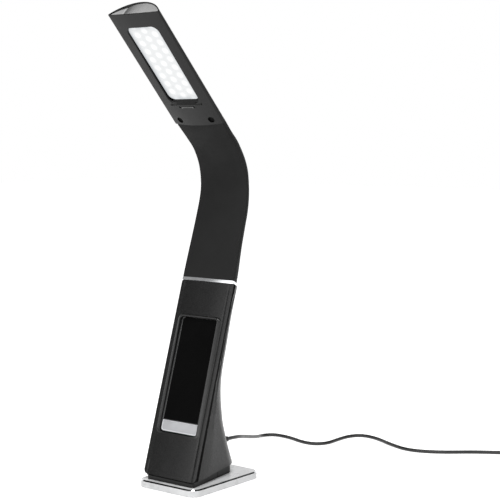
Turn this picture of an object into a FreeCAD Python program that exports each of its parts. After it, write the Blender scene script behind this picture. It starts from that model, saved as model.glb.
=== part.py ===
import FreeCAD, Part
import math
import os

V = FreeCAD.Vector
doc = FreeCAD.newDocument("DeskLamp")

# ---------------------------------------------------------------- driving sizes (millimetres, degrees)
SIZES = [
    # base
    ("plate_width", 70.5), ("plate_depth", 96.0), ("plate_height", 7.0), ("plate_corner", 10.0),
    ("plate_edge", 0.8),
    ("pad_inset", 5.0), ("pad_corner", 6.0), ("pad_height", 1.2), ("pad_proud", 0.4),
    ("collar_inset", 2.2), ("collar_front_height", 5.0), ("sole_rise", 4.0),
    # column
    ("column_lean_degrees", 17.6), ("column_width", 61.6), ("column_front", 42.5),
    ("column_length", 182.6),
    ("leather_thickness", 1.2), ("frame_wall", 2.2), ("glue_gap", 0.1), ("front_panel_depth", 4.0),
    ("panel_side_gap", 0.6), ("panel_edge_round", 1.2),
    # display opening in the front of the column
    ("window_width", 41.0), ("window_low", 41.2), ("window_high", 147.6), ("window_corner", 3.0),
    ("window_gap", 0.5), ("window_sink", 0.4), ("window_thickness", 2.0),
    ("bar_height", 10.6), ("bar_corner", 2.6), ("bar_gap", 0.3),
    ("rim_width", 3.4), ("rim_proud", 1.4), ("rim_slope", 1.0),
    ("lcd_inset", 1.5), ("board_thickness", 1.6), ("board_overlap", 2.5),
    ("touch_foil_thickness", 0.3), ("touch_foil_inset", 2.0),
    ("cell_radius", 10.0), ("cell_thickness", 3.2), ("holder_wall", 1.5), ("holder_place", 132.0),
    # trim ring
    ("ring_height", 2.9), ("ring_front", 2.6), ("ring_back", 22.0), ("ring_proud", 0.3),
    # neck
    ("section_corner", 2.0), ("neck_straight", 57.0), ("neck_radius_1", 100.0),
    ("neck_turn_degrees_1", 29.0), ("neck_radius_2", 48.0), ("neck_turn_degrees_2", 32.0), ("neck_end", 25.0),
    ("neck_width_low", 61.2), ("neck_width_mid", 56.4), ("neck_width_high", 57.4),
    ("neck_front_low", 2.5), ("neck_front_high", 4.0), ("neck_back_low", 21.6), ("neck_back_mid", 16.5),
    ("neck_back_high", 12.0),
    ("sleeve_wall", 1.5), ("core_depth", 5.5), ("core_radius", 4.0), ("core_gap", 0.3),
    ("core_clearance", 0.05), ("first_pivot", 22.0), ("pivot_pitch", 23.4), ("socket_start", 3.6),
    ("knuckle_half", 3.2),
    ("former_height", 6.0), ("former_gap", 0.3), ("clamp_grip", 12.0), ("wire_radius", 2.5),
    # head
    ("head_length", 127.0), ("head_width", 59.0), ("head_step", 2.2), ("head_front_seam", 4.6),
    ("head_front_tip", 2.2), ("head_back", 14.2), ("head_wall", 1.8), ("shell_gap", 0.1),
    ("light_width", 36.0), ("light_tip_margin", 14.6), ("light_low", 28.2), ("light_corner", 6.5),
    ("light_gap", 0.2), ("diffuser_thickness", 2.0), ("diffuser_front", 1.3), ("light_box_depth", 3.0),
    ("light_box_wall", 1.2), ("led_board_thickness", 1.6), ("spreader_thickness", 1.0),
    ("spreader_inset", 1.0),
    ("led_width", 2.8), ("led_length", 3.5), ("led_height", 0.8), ("led_end_margin", 4.9),
    ("led_column", 10.2),
    ("post_radius", 3.0), ("post_inset", 10.0),
    ("slot_width", 19.0), ("slot_height", 1.8), ("slot_place", 21.0), ("slot_depth", 1.2),
    ("head_screw_side", 18.5), ("head_screw_place", 5.6), ("head_screw_radius", 2.6),
    ("head_screw_hole", 3.2),
    ("head_screw_head", 1.4), ("head_screw_shank", 1.2), ("head_screw_grip", 4.0),
    ("head_boss_radius", 4.4), ("head_boss_floor", 0.6), ("head_boss_back", 1.3),
    ("cap_height", 2.6), ("cap_rim", 1.1), ("insert_sink", 0.3), ("insert_thickness", 1.0),
    # set keys on the back
    ("key_radius", 3.0), ("key_gap", 0.25), ("key_low", 62.0), ("key_pitch", 12.0), ("key_travel", 0.8),
    ("key_proud", 1.4), ("key_edge", 0.5), ("key_flange", 1.2), ("key_flange_height", 1.0),
    ("key_guide_depth", 4.0), ("key_guide_width", 13.0), ("dome_height", 1.5), ("dome_radius", 2.4),
    ("dome_gap", 0.2), ("key_board_thickness", 1.6), ("bracket_wall", 1.6),
    # power lead
    ("lead_diameter", 3.5), ("lead_exit_height", 33.5), ("relief_radius_inner", 3.4),
    ("relief_radius_outer", 2.5), ("relief_reach", 15.0), ("pin_radius", 2.7), ("pin_length", 8.0),
    ("pin_gap", 0.1), ("jack_width", 9.0), ("jack_height", 11.0), ("jack_depth", 13.0),
    ("coil_side", 185.5), ("coil_behind", 310.3), ("coil_radius", 19.25),
    ("coil_columns", 2.0), ("coil_layers", 4.0), ("coil_round", 1.5),
    ("desk_gap", 0.05),
    ("plug_grip_length", 22.0), ("plug_grip_width", 12.0), ("plug_grip_height", 7.0),
    ("plug_grip_round", 2.0),
    ("plug_shell_length", 12.0), ("plug_shell_width", 11.0), ("plug_shell_height", 4.5),
    ("plug_shell_wall", 0.4), ("plug_tongue_height", 1.8),
    # fixings
    ("screw_radius", 2.0), ("screw_head_radius", 3.8), ("screw_head_height", 2.2), ("screw_length", 15.0),
    ("screw_gap", 0.15), ("thread_gap", 0.05), ("screw_spacing", 34.0), ("boss_radius", 4.6),
    ("boss_height", 20.0),
]

sheet = doc.addObject("Spreadsheet::Sheet", "Sizes")
for row, (name, value) in enumerate(SIZES, start=1):
    sheet.set("A%d" % row, name)
    sheet.set("B%d" % row, str(value))
    sheet.setAlias("B%d" % row, name)
doc.recompute()


def size(name):
    """The value of one named cell."""
    return float(sheet.get(name))


# ---------------------------------------------------------------- places in the lamp
# X runs across the lamp, the display faces -Y, and Z is up from the desk.
def tilted(point, degrees):
    """A placement turned about X: positive degrees lean its Z axis forwards, towards -Y."""
    return FreeCAD.Placement(point, FreeCAD.Rotation(V(1, 0, 0), degrees))


PAD_TOP = size("pad_height")
PLATE_LOW = size("pad_proud")
PLATE_TOP = PLATE_LOW + size("plate_height")
SOLE_Z = PLATE_TOP + size("collar_front_height")
LEAN = math.radians(size("column_lean_degrees"))
COLUMN_FOOT = V(0, -size("column_front"), SOLE_Z)
COLUMN_UP = V(0, math.sin(LEAN), math.cos(LEAN))
# Local frame of the column: X across, Y into the column, Z up along its front face.
COLUMN = tilted(COLUMN_FOOT, -size("column_lean_degrees"))
RING_FOOT = COLUMN_FOOT + COLUMN_UP * size("column_length")
RING = tilted(RING_FOOT, -size("column_lean_degrees"))
NECK_FOOT = RING_FOOT + COLUMN_UP * size("ring_height")


def neck_point(run):
    """The point and heading (degrees back from upright) at a run along the widest line of the neck."""
    point = V(NECK_FOOT)
    heading = size("column_lean_degrees")
    legs = [(size("neck_straight"), 0.0),
            (math.radians(size("neck_turn_degrees_1")) * size("neck_radius_1"), size("neck_turn_degrees_1")),
            (math.radians(size("neck_turn_degrees_2")) * size("neck_radius_2"), size("neck_turn_degrees_2")),
            (size("neck_end"), 0.0)]
    for number, (length, turn) in enumerate(legs):
        last = number == len(legs) - 1
        part = run if last else min(run, length)
        share = turn * part / length
        chord = part
        if turn:
            radius = length / math.radians(turn)
            chord = 2 * radius * math.sin(math.radians(share) / 2)
        middle = math.radians(heading - share / 2)
        point = point + V(0, math.sin(middle), math.cos(middle)) * chord
        heading -= share
        run -= part
        if run <= 0:
            break
    return point, heading


NECK_LENGTH = (size("neck_straight") + size("neck_end")
               + math.radians(size("neck_turn_degrees_1")) * size("neck_radius_1")
               + math.radians(size("neck_turn_degrees_2")) * size("neck_radius_2"))
HEAD_LEAN = size("neck_turn_degrees_1") + size("neck_turn_degrees_2") - size("column_lean_degrees")
NECK_TOP, _ = neck_point(NECK_LENGTH)


def along(heading):
    return V(0, math.sin(math.radians(heading)), math.cos(math.radians(heading)))


def inwards(heading):
    """From the front face towards the back, square to the heading."""
    return V(0, math.cos(math.radians(heading)), -math.sin(math.radians(heading)))


# Local frame of the head: X across, Y towards its domed back, Z towards its tip.
HEAD = tilted(NECK_TOP - inwards(-HEAD_LEAN) * size("head_step"), HEAD_LEAN)


def core_point(run):
    """A point on the middle line of the gooseneck."""
    point, heading = neck_point(run)
    return point + inwards(heading) * size("core_depth")


PIVOT_RUNS = [size("first_pivot") + number * size("pivot_pitch") for number in range(6)]
PIVOTS = [core_point(run) for run in PIVOT_RUNS]

# ---------------------------------------------------------------- making sub-parts
made = []


def keep(obj, label, place=None):
    """Name a finished sub-part, put it in its place and list it for writing."""
    obj.Label = label
    if place is not None:
        obj.Placement = place
    made.append(obj)
    return obj


def bind(obj, **expressions):
    """Tie an object's properties to cells of the sheet."""
    for prop, expression in expressions.items():
        obj.setExpression(prop.replace("__", "."), expression)
    return obj


def box(x, y, z, width, depth, height):
    """A block: its low corner and its sides, all as expressions of the sheet."""
    obj = doc.addObject("Part::Box", "Block")
    return bind(obj, Length=width, Width=depth, Height=height,
                Placement__Base__x=x, Placement__Base__y=y, Placement__Base__z=z)


def leaning_box(label, x, y, z, width, depth, height):
    """A block of the column, given in the column's own frame."""
    wrap = doc.addObject("Part::Compound", "Leaning")
    wrap.Links = [box(x, y, z, width, depth, height)]
    return keep(wrap, label, COLUMN)


def rod(radius, height, x, z):
    """A round upright rod on the lamp's middle plane from front to back."""
    obj = doc.addObject("Part::Cylinder", "Rod")
    return bind(obj, Radius=radius, Height=height, Placement__Base__x=x, Placement__Base__z=z)


def cut(base, *tools):
    for tool in tools:
        feature = doc.addObject("Part::Cut", "Cut")
        feature.Base = base
        feature.Tool = tool
        base = feature
    return base


def rounded(base, radius, chosen):
    """Round the edges that the test chooses. The radius is a cell's name."""
    doc.recompute()
    feature = doc.addObject("Part::Fillet", "Fillet")
    feature.Base = base
    feature.Edges = [(number, size(radius), size(radius))
                     for number, edge in enumerate(base.Shape.Edges, start=1) if chosen(edge)]
    return feature


def runs_along(axis):
    """A test for straight edges along one axis."""
    def chosen(edge):
        straight = edge.Curve.TypeId == "Part::GeomLine"
        return straight and abs(edge.tangentAt(edge.FirstParameter).dot(axis)) > 0.999
    return chosen


def solid(label, shape, place=None):
    """A sub-part whose shape comes from Part's own functions."""
    feature = doc.addObject("Part::Feature", label)
    feature.Shape = shape
    return keep(feature, label, place)


def placed(shape, place):
    shape.Placement = place
    return shape


def largest(shape):
    """The biggest solid of a cut shape, without its offcuts."""
    return max(shape.Solids, key=lambda one: one.Volume)


def peg(radius, length, x, y, z):
    """A round bar along +Y from a point."""
    return Part.makeCylinder(radius, length, V(x, y, z), V(0, 1, 0))


# ---------------------------------------------------------------- outlines
def lens_wire(width, front, back, place):
    """A flat oval: a front arc, a deeper back arc and small round corners on the widest line.

    The corners are limited by the front arc's depth, so a thin section keeps its shape.
    """
    corner = min(size("section_corner"), 0.6 * front)
    side = width / 2 - corner

    def arc_points(depth, sign):
        reach = depth - corner
        centre = (reach * reach - side * side) / (2 * reach)
        radius = reach - centre + corner
        angle = math.atan2(-centre, side)
        meet = (side + corner * math.cos(angle), corner * math.sin(angle))
        return meet, sign * (centre + radius)

    front_meet, front_top = arc_points(front, -1)
    back_meet, back_top = arc_points(back, 1)
    ends = [V(-front_meet[0], -front_meet[1], 0), V(front_meet[0], -front_meet[1], 0),
            V(back_meet[0], back_meet[1], 0), V(-back_meet[0], back_meet[1], 0)]
    middles = [V(0, front_top, 0), V(width / 2, 0, 0), V(0, back_top, 0), V(-width / 2, 0, 0)]
    edges = [Part.Arc(ends[i], middles[i], ends[(i + 1) % 4]).toShape() for i in range(4)]
    wire = Part.Wire(edges)
    wire.Placement = place
    return wire


# How the column's outline changes from below the sole to above the ring:
# (share of the column's height, depth from front to back, inward taper of the side in degrees)
COLUMN_STATIONS = [(-0.15, 99.0, 7.0), (0.02, 73.3, 8.0), (0.125, 61.2, 9.0), (0.23, 50.2, 10.5),
                   (0.33, 41.4, 12.0), (0.435, 34.6, 14.5), (0.55, 30.2, 17.0), (0.705, 27.9, 18.0),
                   (0.875, 26.6, 18.5), (1.08, 25.2, 19.0)]
COLUMN_RISE = size("column_length") * math.cos(LEAN)


def station_height(share):
    return SOLE_Z + share * COLUMN_RISE


def column_front_at(height):
    """Y of the column's front face at a height above the desk."""
    return COLUMN_FOOT.y + (height - COLUMN_FOOT.z) * math.tan(LEAN)


def column_wire(height, depth, taper, inset):
    """A level outline: flat front, straight tapering sides and a round back. The inset spares the front."""
    angle = math.radians(taper)
    half = size("column_width") / 2
    centre = (depth - half * math.cos(angle)) / (1 - math.sin(angle))
    radius = half * math.cos(angle) - centre * math.sin(angle) - inset
    side = (radius + centre * math.sin(angle)) / math.cos(angle)
    turn = V(radius * math.cos(angle), centre + radius * math.sin(angle), 0)
    points = [V(-side, 0, 0), V(side, 0, 0), turn, V(-turn.x, turn.y, 0)]
    edges = [Part.LineSegment(points[0], points[1]).toShape(),
             Part.LineSegment(points[1], points[2]).toShape(),
             Part.Arc(points[2], V(0, centre + radius, 0), points[3]).toShape(),
             Part.LineSegment(points[3], points[0]).toShape()]
    wire = Part.Wire(edges)
    wire.translate(V(0, column_front_at(height), height))
    return wire


def column_back_at(height):
    """Y of the middle of the column's back at a height, by the same stations."""
    share = (height - SOLE_Z) / COLUMN_RISE
    for (low, depth_low, _), (high, depth_high, _) in zip(COLUMN_STATIONS, COLUMN_STATIONS[1:]):
        if low <= share <= high:
            part = (share - low) / (high - low)
            return column_front_at(height) + depth_low + part * (depth_high - depth_low)
    raise ValueError("height is off the column")


SOLE = tilted(V(0, COLUMN_FOOT.y, SOLE_Z), size("sole_rise"))
BIG = 400.0


def half_space(place):
    """A very large block above a plane."""
    block = Part.makeBox(BIG, BIG, BIG, V(-BIG / 2, -BIG / 2, 0))
    block.Placement = place
    return block


def column_shape(inset, front_depth):
    """The column's body pulled in by an inset, from its sole to the ring, behind a depth from its front."""
    wires = [column_wire(station_height(share), depth, taper, inset)
             for share, depth, taper in COLUMN_STATIONS]
    shape = Part.makeLoft(wires, True, False)
    shape = shape.common(half_space(SOLE)).cut(half_space(RING))
    in_front = Part.makeBox(BIG, BIG, 2 * BIG, V(-BIG / 2, front_depth - BIG, -BIG))
    return shape.cut(placed(in_front, COLUMN))


def raised(place, distance):
    """The same plane, moved up its own axis."""
    return place.multiply(FreeCAD.Placement(V(0, 0, distance), FreeCAD.Rotation()))


# ---------------------------------------------------------------- base
def base_plate():
    blank = rounded(box("-Sizes.plate_width/2", "-Sizes.plate_depth/2", "Sizes.pad_proud",
                        "Sizes.plate_width", "Sizes.plate_depth", "Sizes.plate_height"),
                    "plate_corner", runs_along(V(0, 0, 1)))
    edged = rounded(blank, "plate_edge", lambda edge: edge.BoundBox.ZMin > PLATE_TOP - 0.01)
    recess = box("-Sizes.plate_width/2 + Sizes.pad_inset", "-Sizes.plate_depth/2 + Sizes.pad_inset", "0",
                 "Sizes.plate_width - 2*Sizes.pad_inset", "Sizes.plate_depth - 2*Sizes.pad_inset",
                 "Sizes.pad_height")
    recess = rounded(recess, "pad_corner", runs_along(V(0, 0, 1)))
    tools = [recess]
    for side in ("-", ""):
        x = side + "Sizes.screw_spacing/2"
        tools.append(rod("Sizes.screw_radius + Sizes.screw_gap", "Sizes.plate_height*2", x, "0"))
        tools.append(rod("Sizes.screw_head_radius + Sizes.screw_gap", "Sizes.screw_head_height", x,
                         "Sizes.pad_height"))
    keep(cut(edged, *tools), "base_plate")


def anti_slip_pad():
    pad = rounded(box("-Sizes.plate_width/2 + Sizes.pad_inset + Sizes.glue_gap",
                      "-Sizes.plate_depth/2 + Sizes.pad_inset + Sizes.glue_gap", "0",
                      "Sizes.plate_width - 2*Sizes.pad_inset - 2*Sizes.glue_gap",
                      "Sizes.plate_depth - 2*Sizes.pad_inset - 2*Sizes.glue_gap", "Sizes.pad_height"),
                  "pad_corner", runs_along(V(0, 0, 1)))
    keep(pad, "anti_slip_pad")


def column_screws():
    """Two countersunk screws up through the plate into the frame's bosses."""
    screws = []
    for side in (-1, 1):
        x = side * size("screw_spacing") / 2
        head = Part.makeCylinder(size("screw_head_radius"), size("screw_head_height"), V(x, 0, PAD_TOP))
        shank = Part.makeCylinder(size("screw_radius"), size("screw_length"), V(x, 0, PAD_TOP))
        screws.append(head.fuse(shank).removeSplitter())
    solid("column_screws", Part.makeCompound(screws))


def base_collar():
    """The dark sole moulding between the plate and the leather: level below, rising to the back above."""
    _, depth, taper = COLUMN_STATIONS[1]
    inset = size("collar_inset")
    wire = column_wire(SOLE_Z, depth, taper, inset)
    wire.translate(V(0, 0, PLATE_TOP - SOLE_Z))
    shape = Part.Face(wire).extrude(V(0, 0, size("plate_depth"))).cut(half_space(SOLE))
    shape = shape.cut(Part.makeBox(BIG, BIG, BIG, V(-BIG / 2, COLUMN_FOOT.y + inset - BIG, 0)))
    for side in (-1, 1):
        x = side * size("screw_spacing") / 2
        hole = Part.makeCylinder(size("boss_radius") + size("glue_gap"), size("plate_depth"), V(x, 0, 0))
        shape = shape.cut(hole)
    solid("base_collar", shape)


# ---------------------------------------------------------------- column
def rear_leather():
    """The leather round the sides and the back, open at the front."""
    outer = column_shape(0, size("front_panel_depth") + size("panel_side_gap"))
    inner = column_shape(size("leather_thickness"), -BIG / 2)
    shape = outer.cut(inner)
    for tool in key_holes(size("key_radius") + size("key_gap")) + [relief_hole()]:
        shape = shape.cut(tool)
    solid("rear_leather", largest(shape))


WALL_REACH = 15.0   # how far each side of the back face a hole's tool reaches


def key_place(number):
    height = size("key_low") + number * size("key_pitch")
    return V(0, column_back_at(height), height)


def key_holes(radius):
    tools = []
    for number in range(3):
        place = key_place(number)
        tools.append(peg(radius, 2 * WALL_REACH, 0, place.y - WALL_REACH, place.z))
    return tools


def relief_hole():
    height = size("lead_exit_height")
    return peg(size("relief_radius_inner") + size("glue_gap"), 2 * WALL_REACH,
               0, column_back_at(height) - WALL_REACH, height)


SKIN = size("leather_thickness") + size("glue_gap")


def cavity(gap):
    """The hollow inside the column's frame, with a gap to its walls."""
    return largest(column_shape(SKIN + size("frame_wall") + gap, size("front_panel_depth") + gap))


def column_frame():
    """The moulded core that the leather is wrapped round, with bosses for the two screws."""
    wall = size("frame_wall")
    outer = column_shape(SKIN, size("front_panel_depth") + size("glue_gap"))
    inner = column_shape(SKIN + wall, -BIG / 2)
    shape = largest(outer.cut(inner))
    floor = outer.common(half_space(SOLE).cut(half_space(raised(SOLE, wall))))
    shape = shape.fuse(floor)
    places = [side * size("screw_spacing") / 2 for side in (-1, 1)]
    for x in places:
        shape = shape.fuse(Part.makeCylinder(size("boss_radius"), size("boss_height"), V(x, 0, PLATE_TOP)))
    for x in places:
        shape = shape.cut(Part.makeCylinder(size("screw_radius") + size("thread_gap"),
                                            size("screw_length") + size("pad_height"), V(x, 0, 0)))
    for tool in key_holes(size("key_radius") + size("key_gap")) + [relief_hole()]:
        shape = shape.cut(tool)
    solid("column_frame", largest(shape.removeSplitter()))


def panel_block(depth_low, depth_high, inset, edge_round=0):
    """A slab of the front panel between two depths, cut off at the sole and at the ring."""
    half = size("column_width") / 2 - inset
    over = size("front_panel_depth") * 2
    block = Part.makeBox(2 * half, depth_high - depth_low, size("column_length") + 2 * over,
                         V(-half, depth_low, -over))
    if edge_round:
        upright = runs_along(V(0, 0, 1))
        middle = (depth_low + depth_high) / 2
        block = block.makeFillet(edge_round, [edge for edge in block.Edges
                                              if upright(edge) and edge.BoundBox.YMin < middle])
    block.Placement = COLUMN
    block = block.common(half_space(SOLE)).cut(half_space(RING))
    return block


def window_block(grow, depth_low, depth_high, low=None, high=None, corner=None):
    """A rounded block the size of the display opening, made larger all round by grow."""
    low = size("window_low") if low is None else low
    high = size("window_high") if high is None else high
    corner = size("window_corner") if corner is None else corner
    block = Part.makeBox(size("window_width") + 2 * grow, depth_high - depth_low, high - low + 2 * grow,
                         V(-size("window_width") / 2 - grow, depth_low, low - grow))
    if corner:
        across = runs_along(V(0, 1, 0))
        block = block.makeFillet(corner + grow, [edge for edge in block.Edges if across(edge)])
    return block


def opening():
    """The hole for the display and the bar, right through the front panel."""
    reach = 2 * size("front_panel_depth")
    return placed(window_block(size("window_gap"), -reach, reach), COLUMN)


def front_leather():
    thickness = size("leather_thickness")
    slab = panel_block(0, size("front_panel_depth"), 0, size("panel_edge_round"))
    pocket = panel_block(thickness, 2 * size("front_panel_depth"), thickness)
    solid("front_leather", largest(slab.cut(pocket).cut(opening())))


def front_panel():
    """The stiff plate under the leather, with the opening that carries the display and the bar."""
    solid("front_panel", panel_block(SKIN, size("front_panel_depth"), SKIN).cut(opening()))


def window_rim():
    """The raised welt of leather round the opening, sloped on its outer side."""
    grow = size("window_gap")
    proud = size("rim_proud")
    outer = window_block(grow + size("rim_width"), -proud, 0)
    outer = outer.makeChamfer(size("rim_slope"), [edge for edge in outer.Edges
                                                  if all(abs(v.Y + proud) < 0.001 for v in edge.Vertexes)])
    inner = window_block(grow, -2 * size("rim_proud"), size("rim_proud"))
    solid("window_rim", outer.cut(inner), COLUMN)


def display_window():
    low = size("window_low") + size("bar_height") + size("bar_gap")
    pane = window_block(0, size("window_sink"), size("window_sink") + size("window_thickness"), low=low)
    square = Part.makeBox(size("window_width"), size("window_thickness"), 2 * size("window_corner"),
                          V(-size("window_width") / 2, size("window_sink"), low))
    solid("display_window", pane.fuse(square).removeSplitter(), COLUMN)


def touch_bar():
    """The bright bar under the display, round at its lower corners."""
    low = size("window_low")
    depth = size("front_panel_depth") - size("touch_foil_thickness")
    bar = window_block(0, 0, depth, high=low + size("bar_height"), corner=size("bar_corner"))
    square = Part.makeBox(size("window_width"), depth, size("bar_height") - size("bar_corner"),
                          V(-size("window_width") / 2, 0, low + size("bar_corner")))
    solid("touch_bar", bar.fuse(square).removeSplitter(), COLUMN)


def touch_foil():
    """The sensing foil between the bar and the board."""
    leaning_box("touch_foil", "-Sizes.window_width/2 + Sizes.touch_foil_inset",
                "Sizes.front_panel_depth - Sizes.touch_foil_thickness",
                "Sizes.window_low + Sizes.touch_foil_inset", "Sizes.window_width - 2*Sizes.touch_foil_inset",
                "Sizes.touch_foil_thickness", "Sizes.bar_height - 2*Sizes.touch_foil_inset")


def lcd_module():
    """The display itself, between its window and the board."""
    leaning_box("lcd_module", "-Sizes.window_width/2 + Sizes.lcd_inset",
                "Sizes.window_sink + Sizes.window_thickness",
                "Sizes.window_low + Sizes.bar_height + Sizes.lcd_inset",
                "Sizes.window_width - 2*Sizes.lcd_inset",
                "Sizes.front_panel_depth - Sizes.window_sink - Sizes.window_thickness",
                "Sizes.window_high - Sizes.window_low - Sizes.bar_height - 2*Sizes.lcd_inset")


def main_board():
    """The circuit board: it overlaps the edge of the opening and lies on the panel's back."""
    leaning_box("main_board", "-Sizes.window_width/2 - Sizes.board_overlap", "Sizes.front_panel_depth",
                "Sizes.window_low - Sizes.board_overlap",
                "Sizes.window_width + 2*Sizes.board_overlap", "Sizes.board_thickness",
                "Sizes.window_high - Sizes.window_low + 2*Sizes.board_overlap")


BOARD_BACK = size("front_panel_depth") + size("board_thickness")


def clock_cell():
    """The coin cell that keeps the clock going, and its holder."""
    radius = size("cell_radius")
    wall = size("holder_wall")
    height = size("holder_place")
    outer = peg(radius + wall, size("cell_thickness") + wall, 0, BOARD_BACK, height)
    pocket = peg(radius + size("glue_gap"), size("cell_thickness"), 0, BOARD_BACK + wall, height)
    solid("cell_holder", outer.cut(pocket), COLUMN)
    solid("coin_cell", peg(radius, size("cell_thickness"), 0, BOARD_BACK + wall, height), COLUMN)


# ---------------------------------------------------------------- set keys on the back
KEY_LABELS = ("down_key", "up_key", "mode_key")
KEY_NUMBERS = range(len(KEY_LABELS))


def inner_wall_y(height):
    """Y of the middle of the frame's inner wall at a height."""
    return column_back_at(height) - SKIN - size("frame_wall")


# The guide's inner face is level, and at least its depth away from the wall.
GUIDE_FRONT = min(inner_wall_y(key_place(number).z) for number in KEY_NUMBERS) - size("key_guide_depth")
FLANGE_FRONT = GUIDE_FRONT - size("key_gap") - size("key_flange_height")
DOME_TOP = FLANGE_FRONT - size("key_travel") - size("dome_gap")
KEY_BOARD_BACK = DOME_TOP - size("dome_height")
KEY_BOARD_FRONT = KEY_BOARD_BACK - size("key_board_thickness")
KEYS_LOW = size("key_low") - size("key_pitch") / 2
KEYS_TALL = size("key_pitch") * len(KEY_LABELS)


def keys_block(x, width, front):
    """A block as tall as the row of keys, from one depth back to the frame's wall."""
    block = Part.makeBox(width, column_back_at(KEYS_LOW) - front, KEYS_TALL, V(x, front, KEYS_LOW))
    return largest(block.common(cavity(size("glue_gap"))))


def key_guide():
    """A block with three bores that the keys slide in, cut to lie against the wall."""
    width = size("key_guide_width")
    block = keys_block(-width / 2, width, GUIDE_FRONT)
    for tool in key_holes(size("key_radius") + size("key_gap")):
        block = block.cut(tool)
    solid("key_guide", block)


def set_keys():
    """Round keys with an inner flange that keeps them from falling out."""
    radius = size("key_radius")
    for number, label in enumerate(KEY_LABELS):
        place = key_place(number)
        length = place.y + size("key_proud") - FLANGE_FRONT
        stem = peg(radius, length, 0, FLANGE_FRONT, place.z)
        rim = [edge for edge in stem.Edges if edge.BoundBox.YMin > FLANGE_FRONT + length / 2]
        stem = stem.makeFillet(size("key_edge"), rim)
        flange = peg(radius + size("key_flange"), size("key_flange_height"), 0, FLANGE_FRONT, place.z)
        solid(label, stem.fuse(flange).removeSplitter())


def key_board():
    """The small board behind the keys with one dome switch for each, and the two walls that hold it."""
    domes = [peg(size("dome_radius"), size("dome_height"), 0, KEY_BOARD_BACK, key_place(number).z)
             for number in KEY_NUMBERS]
    solid("key_domes", Part.makeCompound(domes))
    width = size("key_guide_width")
    solid("key_board", Part.makeBox(width, size("key_board_thickness"), KEYS_TALL,
                                    V(-width / 2, KEY_BOARD_FRONT, KEYS_LOW)))
    wall = size("bracket_wall")
    walls = [keys_block(x, wall, KEY_BOARD_FRONT) for x in (-width / 2 - wall, width / 2)]
    solid("key_brackets", Part.makeCompound(walls))


# ---------------------------------------------------------------- ring and neck
NECK_BEND_SHARE = 0.62   # where along the neck its width and back depth reach their middle values


def neck_shape_at(run):
    """Width, front depth and back depth of the neck at a run along it."""
    bend = NECK_LENGTH * NECK_BEND_SHARE
    front = size("neck_front_low") + run / NECK_LENGTH * (size("neck_front_high") - size("neck_front_low"))
    low, high, share = "low", "mid", run / bend
    if run > bend:
        low, high, share = "mid", "high", (run - bend) / (NECK_LENGTH - bend)
    width = size("neck_width_" + low) * (1 - share) + size("neck_width_" + high) * share
    back = size("neck_back_" + low) * (1 - share) + size("neck_back_" + high) * share
    return width, front, back


def neck_wire(run, inset, place=None):
    """The neck's outline at a run along it, pulled in by an inset."""
    width, front, back = neck_shape_at(run)
    if place is None:
        point, heading = neck_point(run)
        place = tilted(point, -heading)
    return lens_wire(width - 2 * inset, front - inset, back - inset, place)


PLUG_INSET = size("sleeve_wall") + size("former_gap")


def core_ends(number):
    """Where segment number of the gooseneck starts and ends. Segment 0 is held by the column."""
    points = [core_point(-size("ring_height"))] + PIVOTS + [core_point(NECK_LENGTH)]
    return points[number], points[number + 1]


def core_rod(number, radius, beyond=0.0):
    """A straight round bar along one segment of the gooseneck, and a length beyond its upper end."""
    start, end = core_ends(number)
    way = end - start
    return Part.makeCylinder(radius, way.Length + beyond, start, way)


def trim_ring():
    """The bright ring on top of the column. The lower clamp passes through it."""
    height = size("ring_height")
    width = size("column_width") + 2 * size("ring_proud")
    blank = lens_wire(width, size("ring_front"), size("ring_back"), RING)
    inner = neck_wire(0, PLUG_INSET - size("glue_gap"), RING)
    up = COLUMN_UP * height
    solid("trim_ring", Part.Face(blank).extrude(up).cut(Part.Face(inner).extrude(up)))


def neck_lower_clamp():
    """The plug that fills the top of the column's frame, passes the ring and fills the foot of the sleeve."""
    grip = size("clamp_grip")
    spigot = Part.makeLoft([neck_wire(0, PLUG_INSET), neck_wire(grip, PLUG_INSET)], True, True)
    through = Part.Face(neck_wire(0, PLUG_INSET, RING)).extrude(COLUMN_UP * size("ring_height"))
    plug = cavity(size("glue_gap")).common(half_space(raised(RING, -grip)))
    shape = largest(plug.fuse(through).fuse(spigot))
    shape = shape.cut(core_rod(0, size("core_radius") + size("core_clearance")))
    wires = Part.makeCylinder(size("wire_radius"), grip,
                              V(0, size("front_panel_depth") + 2 * size("wire_radius"), -grip))
    solid("neck_lower_clamp", largest(shape.cut(placed(wires, RING))))


def gooseneck(number):
    """One length of the flexible tube: a round knuckle at its upper pivot, a hollow foot on its lower one."""
    start, end = core_ends(number)
    radius = size("core_radius")
    across = V(1, 0, 0)
    shape = core_rod(number, radius)
    if number > 0:
        below = 2 * radius
        foot = Part.makeBox(2 * below, 2 * below, below + size("socket_start"), V(-below, -below, -below))
        foot.Placement = FreeCAD.Placement(start, FreeCAD.Rotation(V(0, 0, 1), end - start))
        socket = Part.makeCylinder(radius + size("core_gap"), 2 * below, start - across * below, across)
        shape = shape.cut(foot).cut(socket)
    if number < len(PIVOTS):
        half = size("knuckle_half")
        knuckle = Part.makeCylinder(radius, 2 * half, end - across * half, across)
        shape = shape.fuse(knuckle.common(core_rod(number, radius, radius))).removeSplitter()
    solid("gooseneck_%d" % number, shape)


def neck_former(number):
    """A rib that keeps the sleeve's section, threaded on one segment of the gooseneck."""
    run = (PIVOT_RUNS[number - 1] + PIVOT_RUNS[number]) / 2
    height = size("former_height")
    face = Part.Face(neck_wire(run, PLUG_INSET, tilted(V(0, 0, -height / 2), 0)))
    point, heading = neck_point(run)
    shape = placed(face.extrude(V(0, 0, height)), tilted(point, -heading))
    bore = core_rod(number, size("core_radius") + size("core_clearance"))
    solid("neck_former_%d" % number, shape.cut(bore))


SLEEVE_STATIONS = 25


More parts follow.
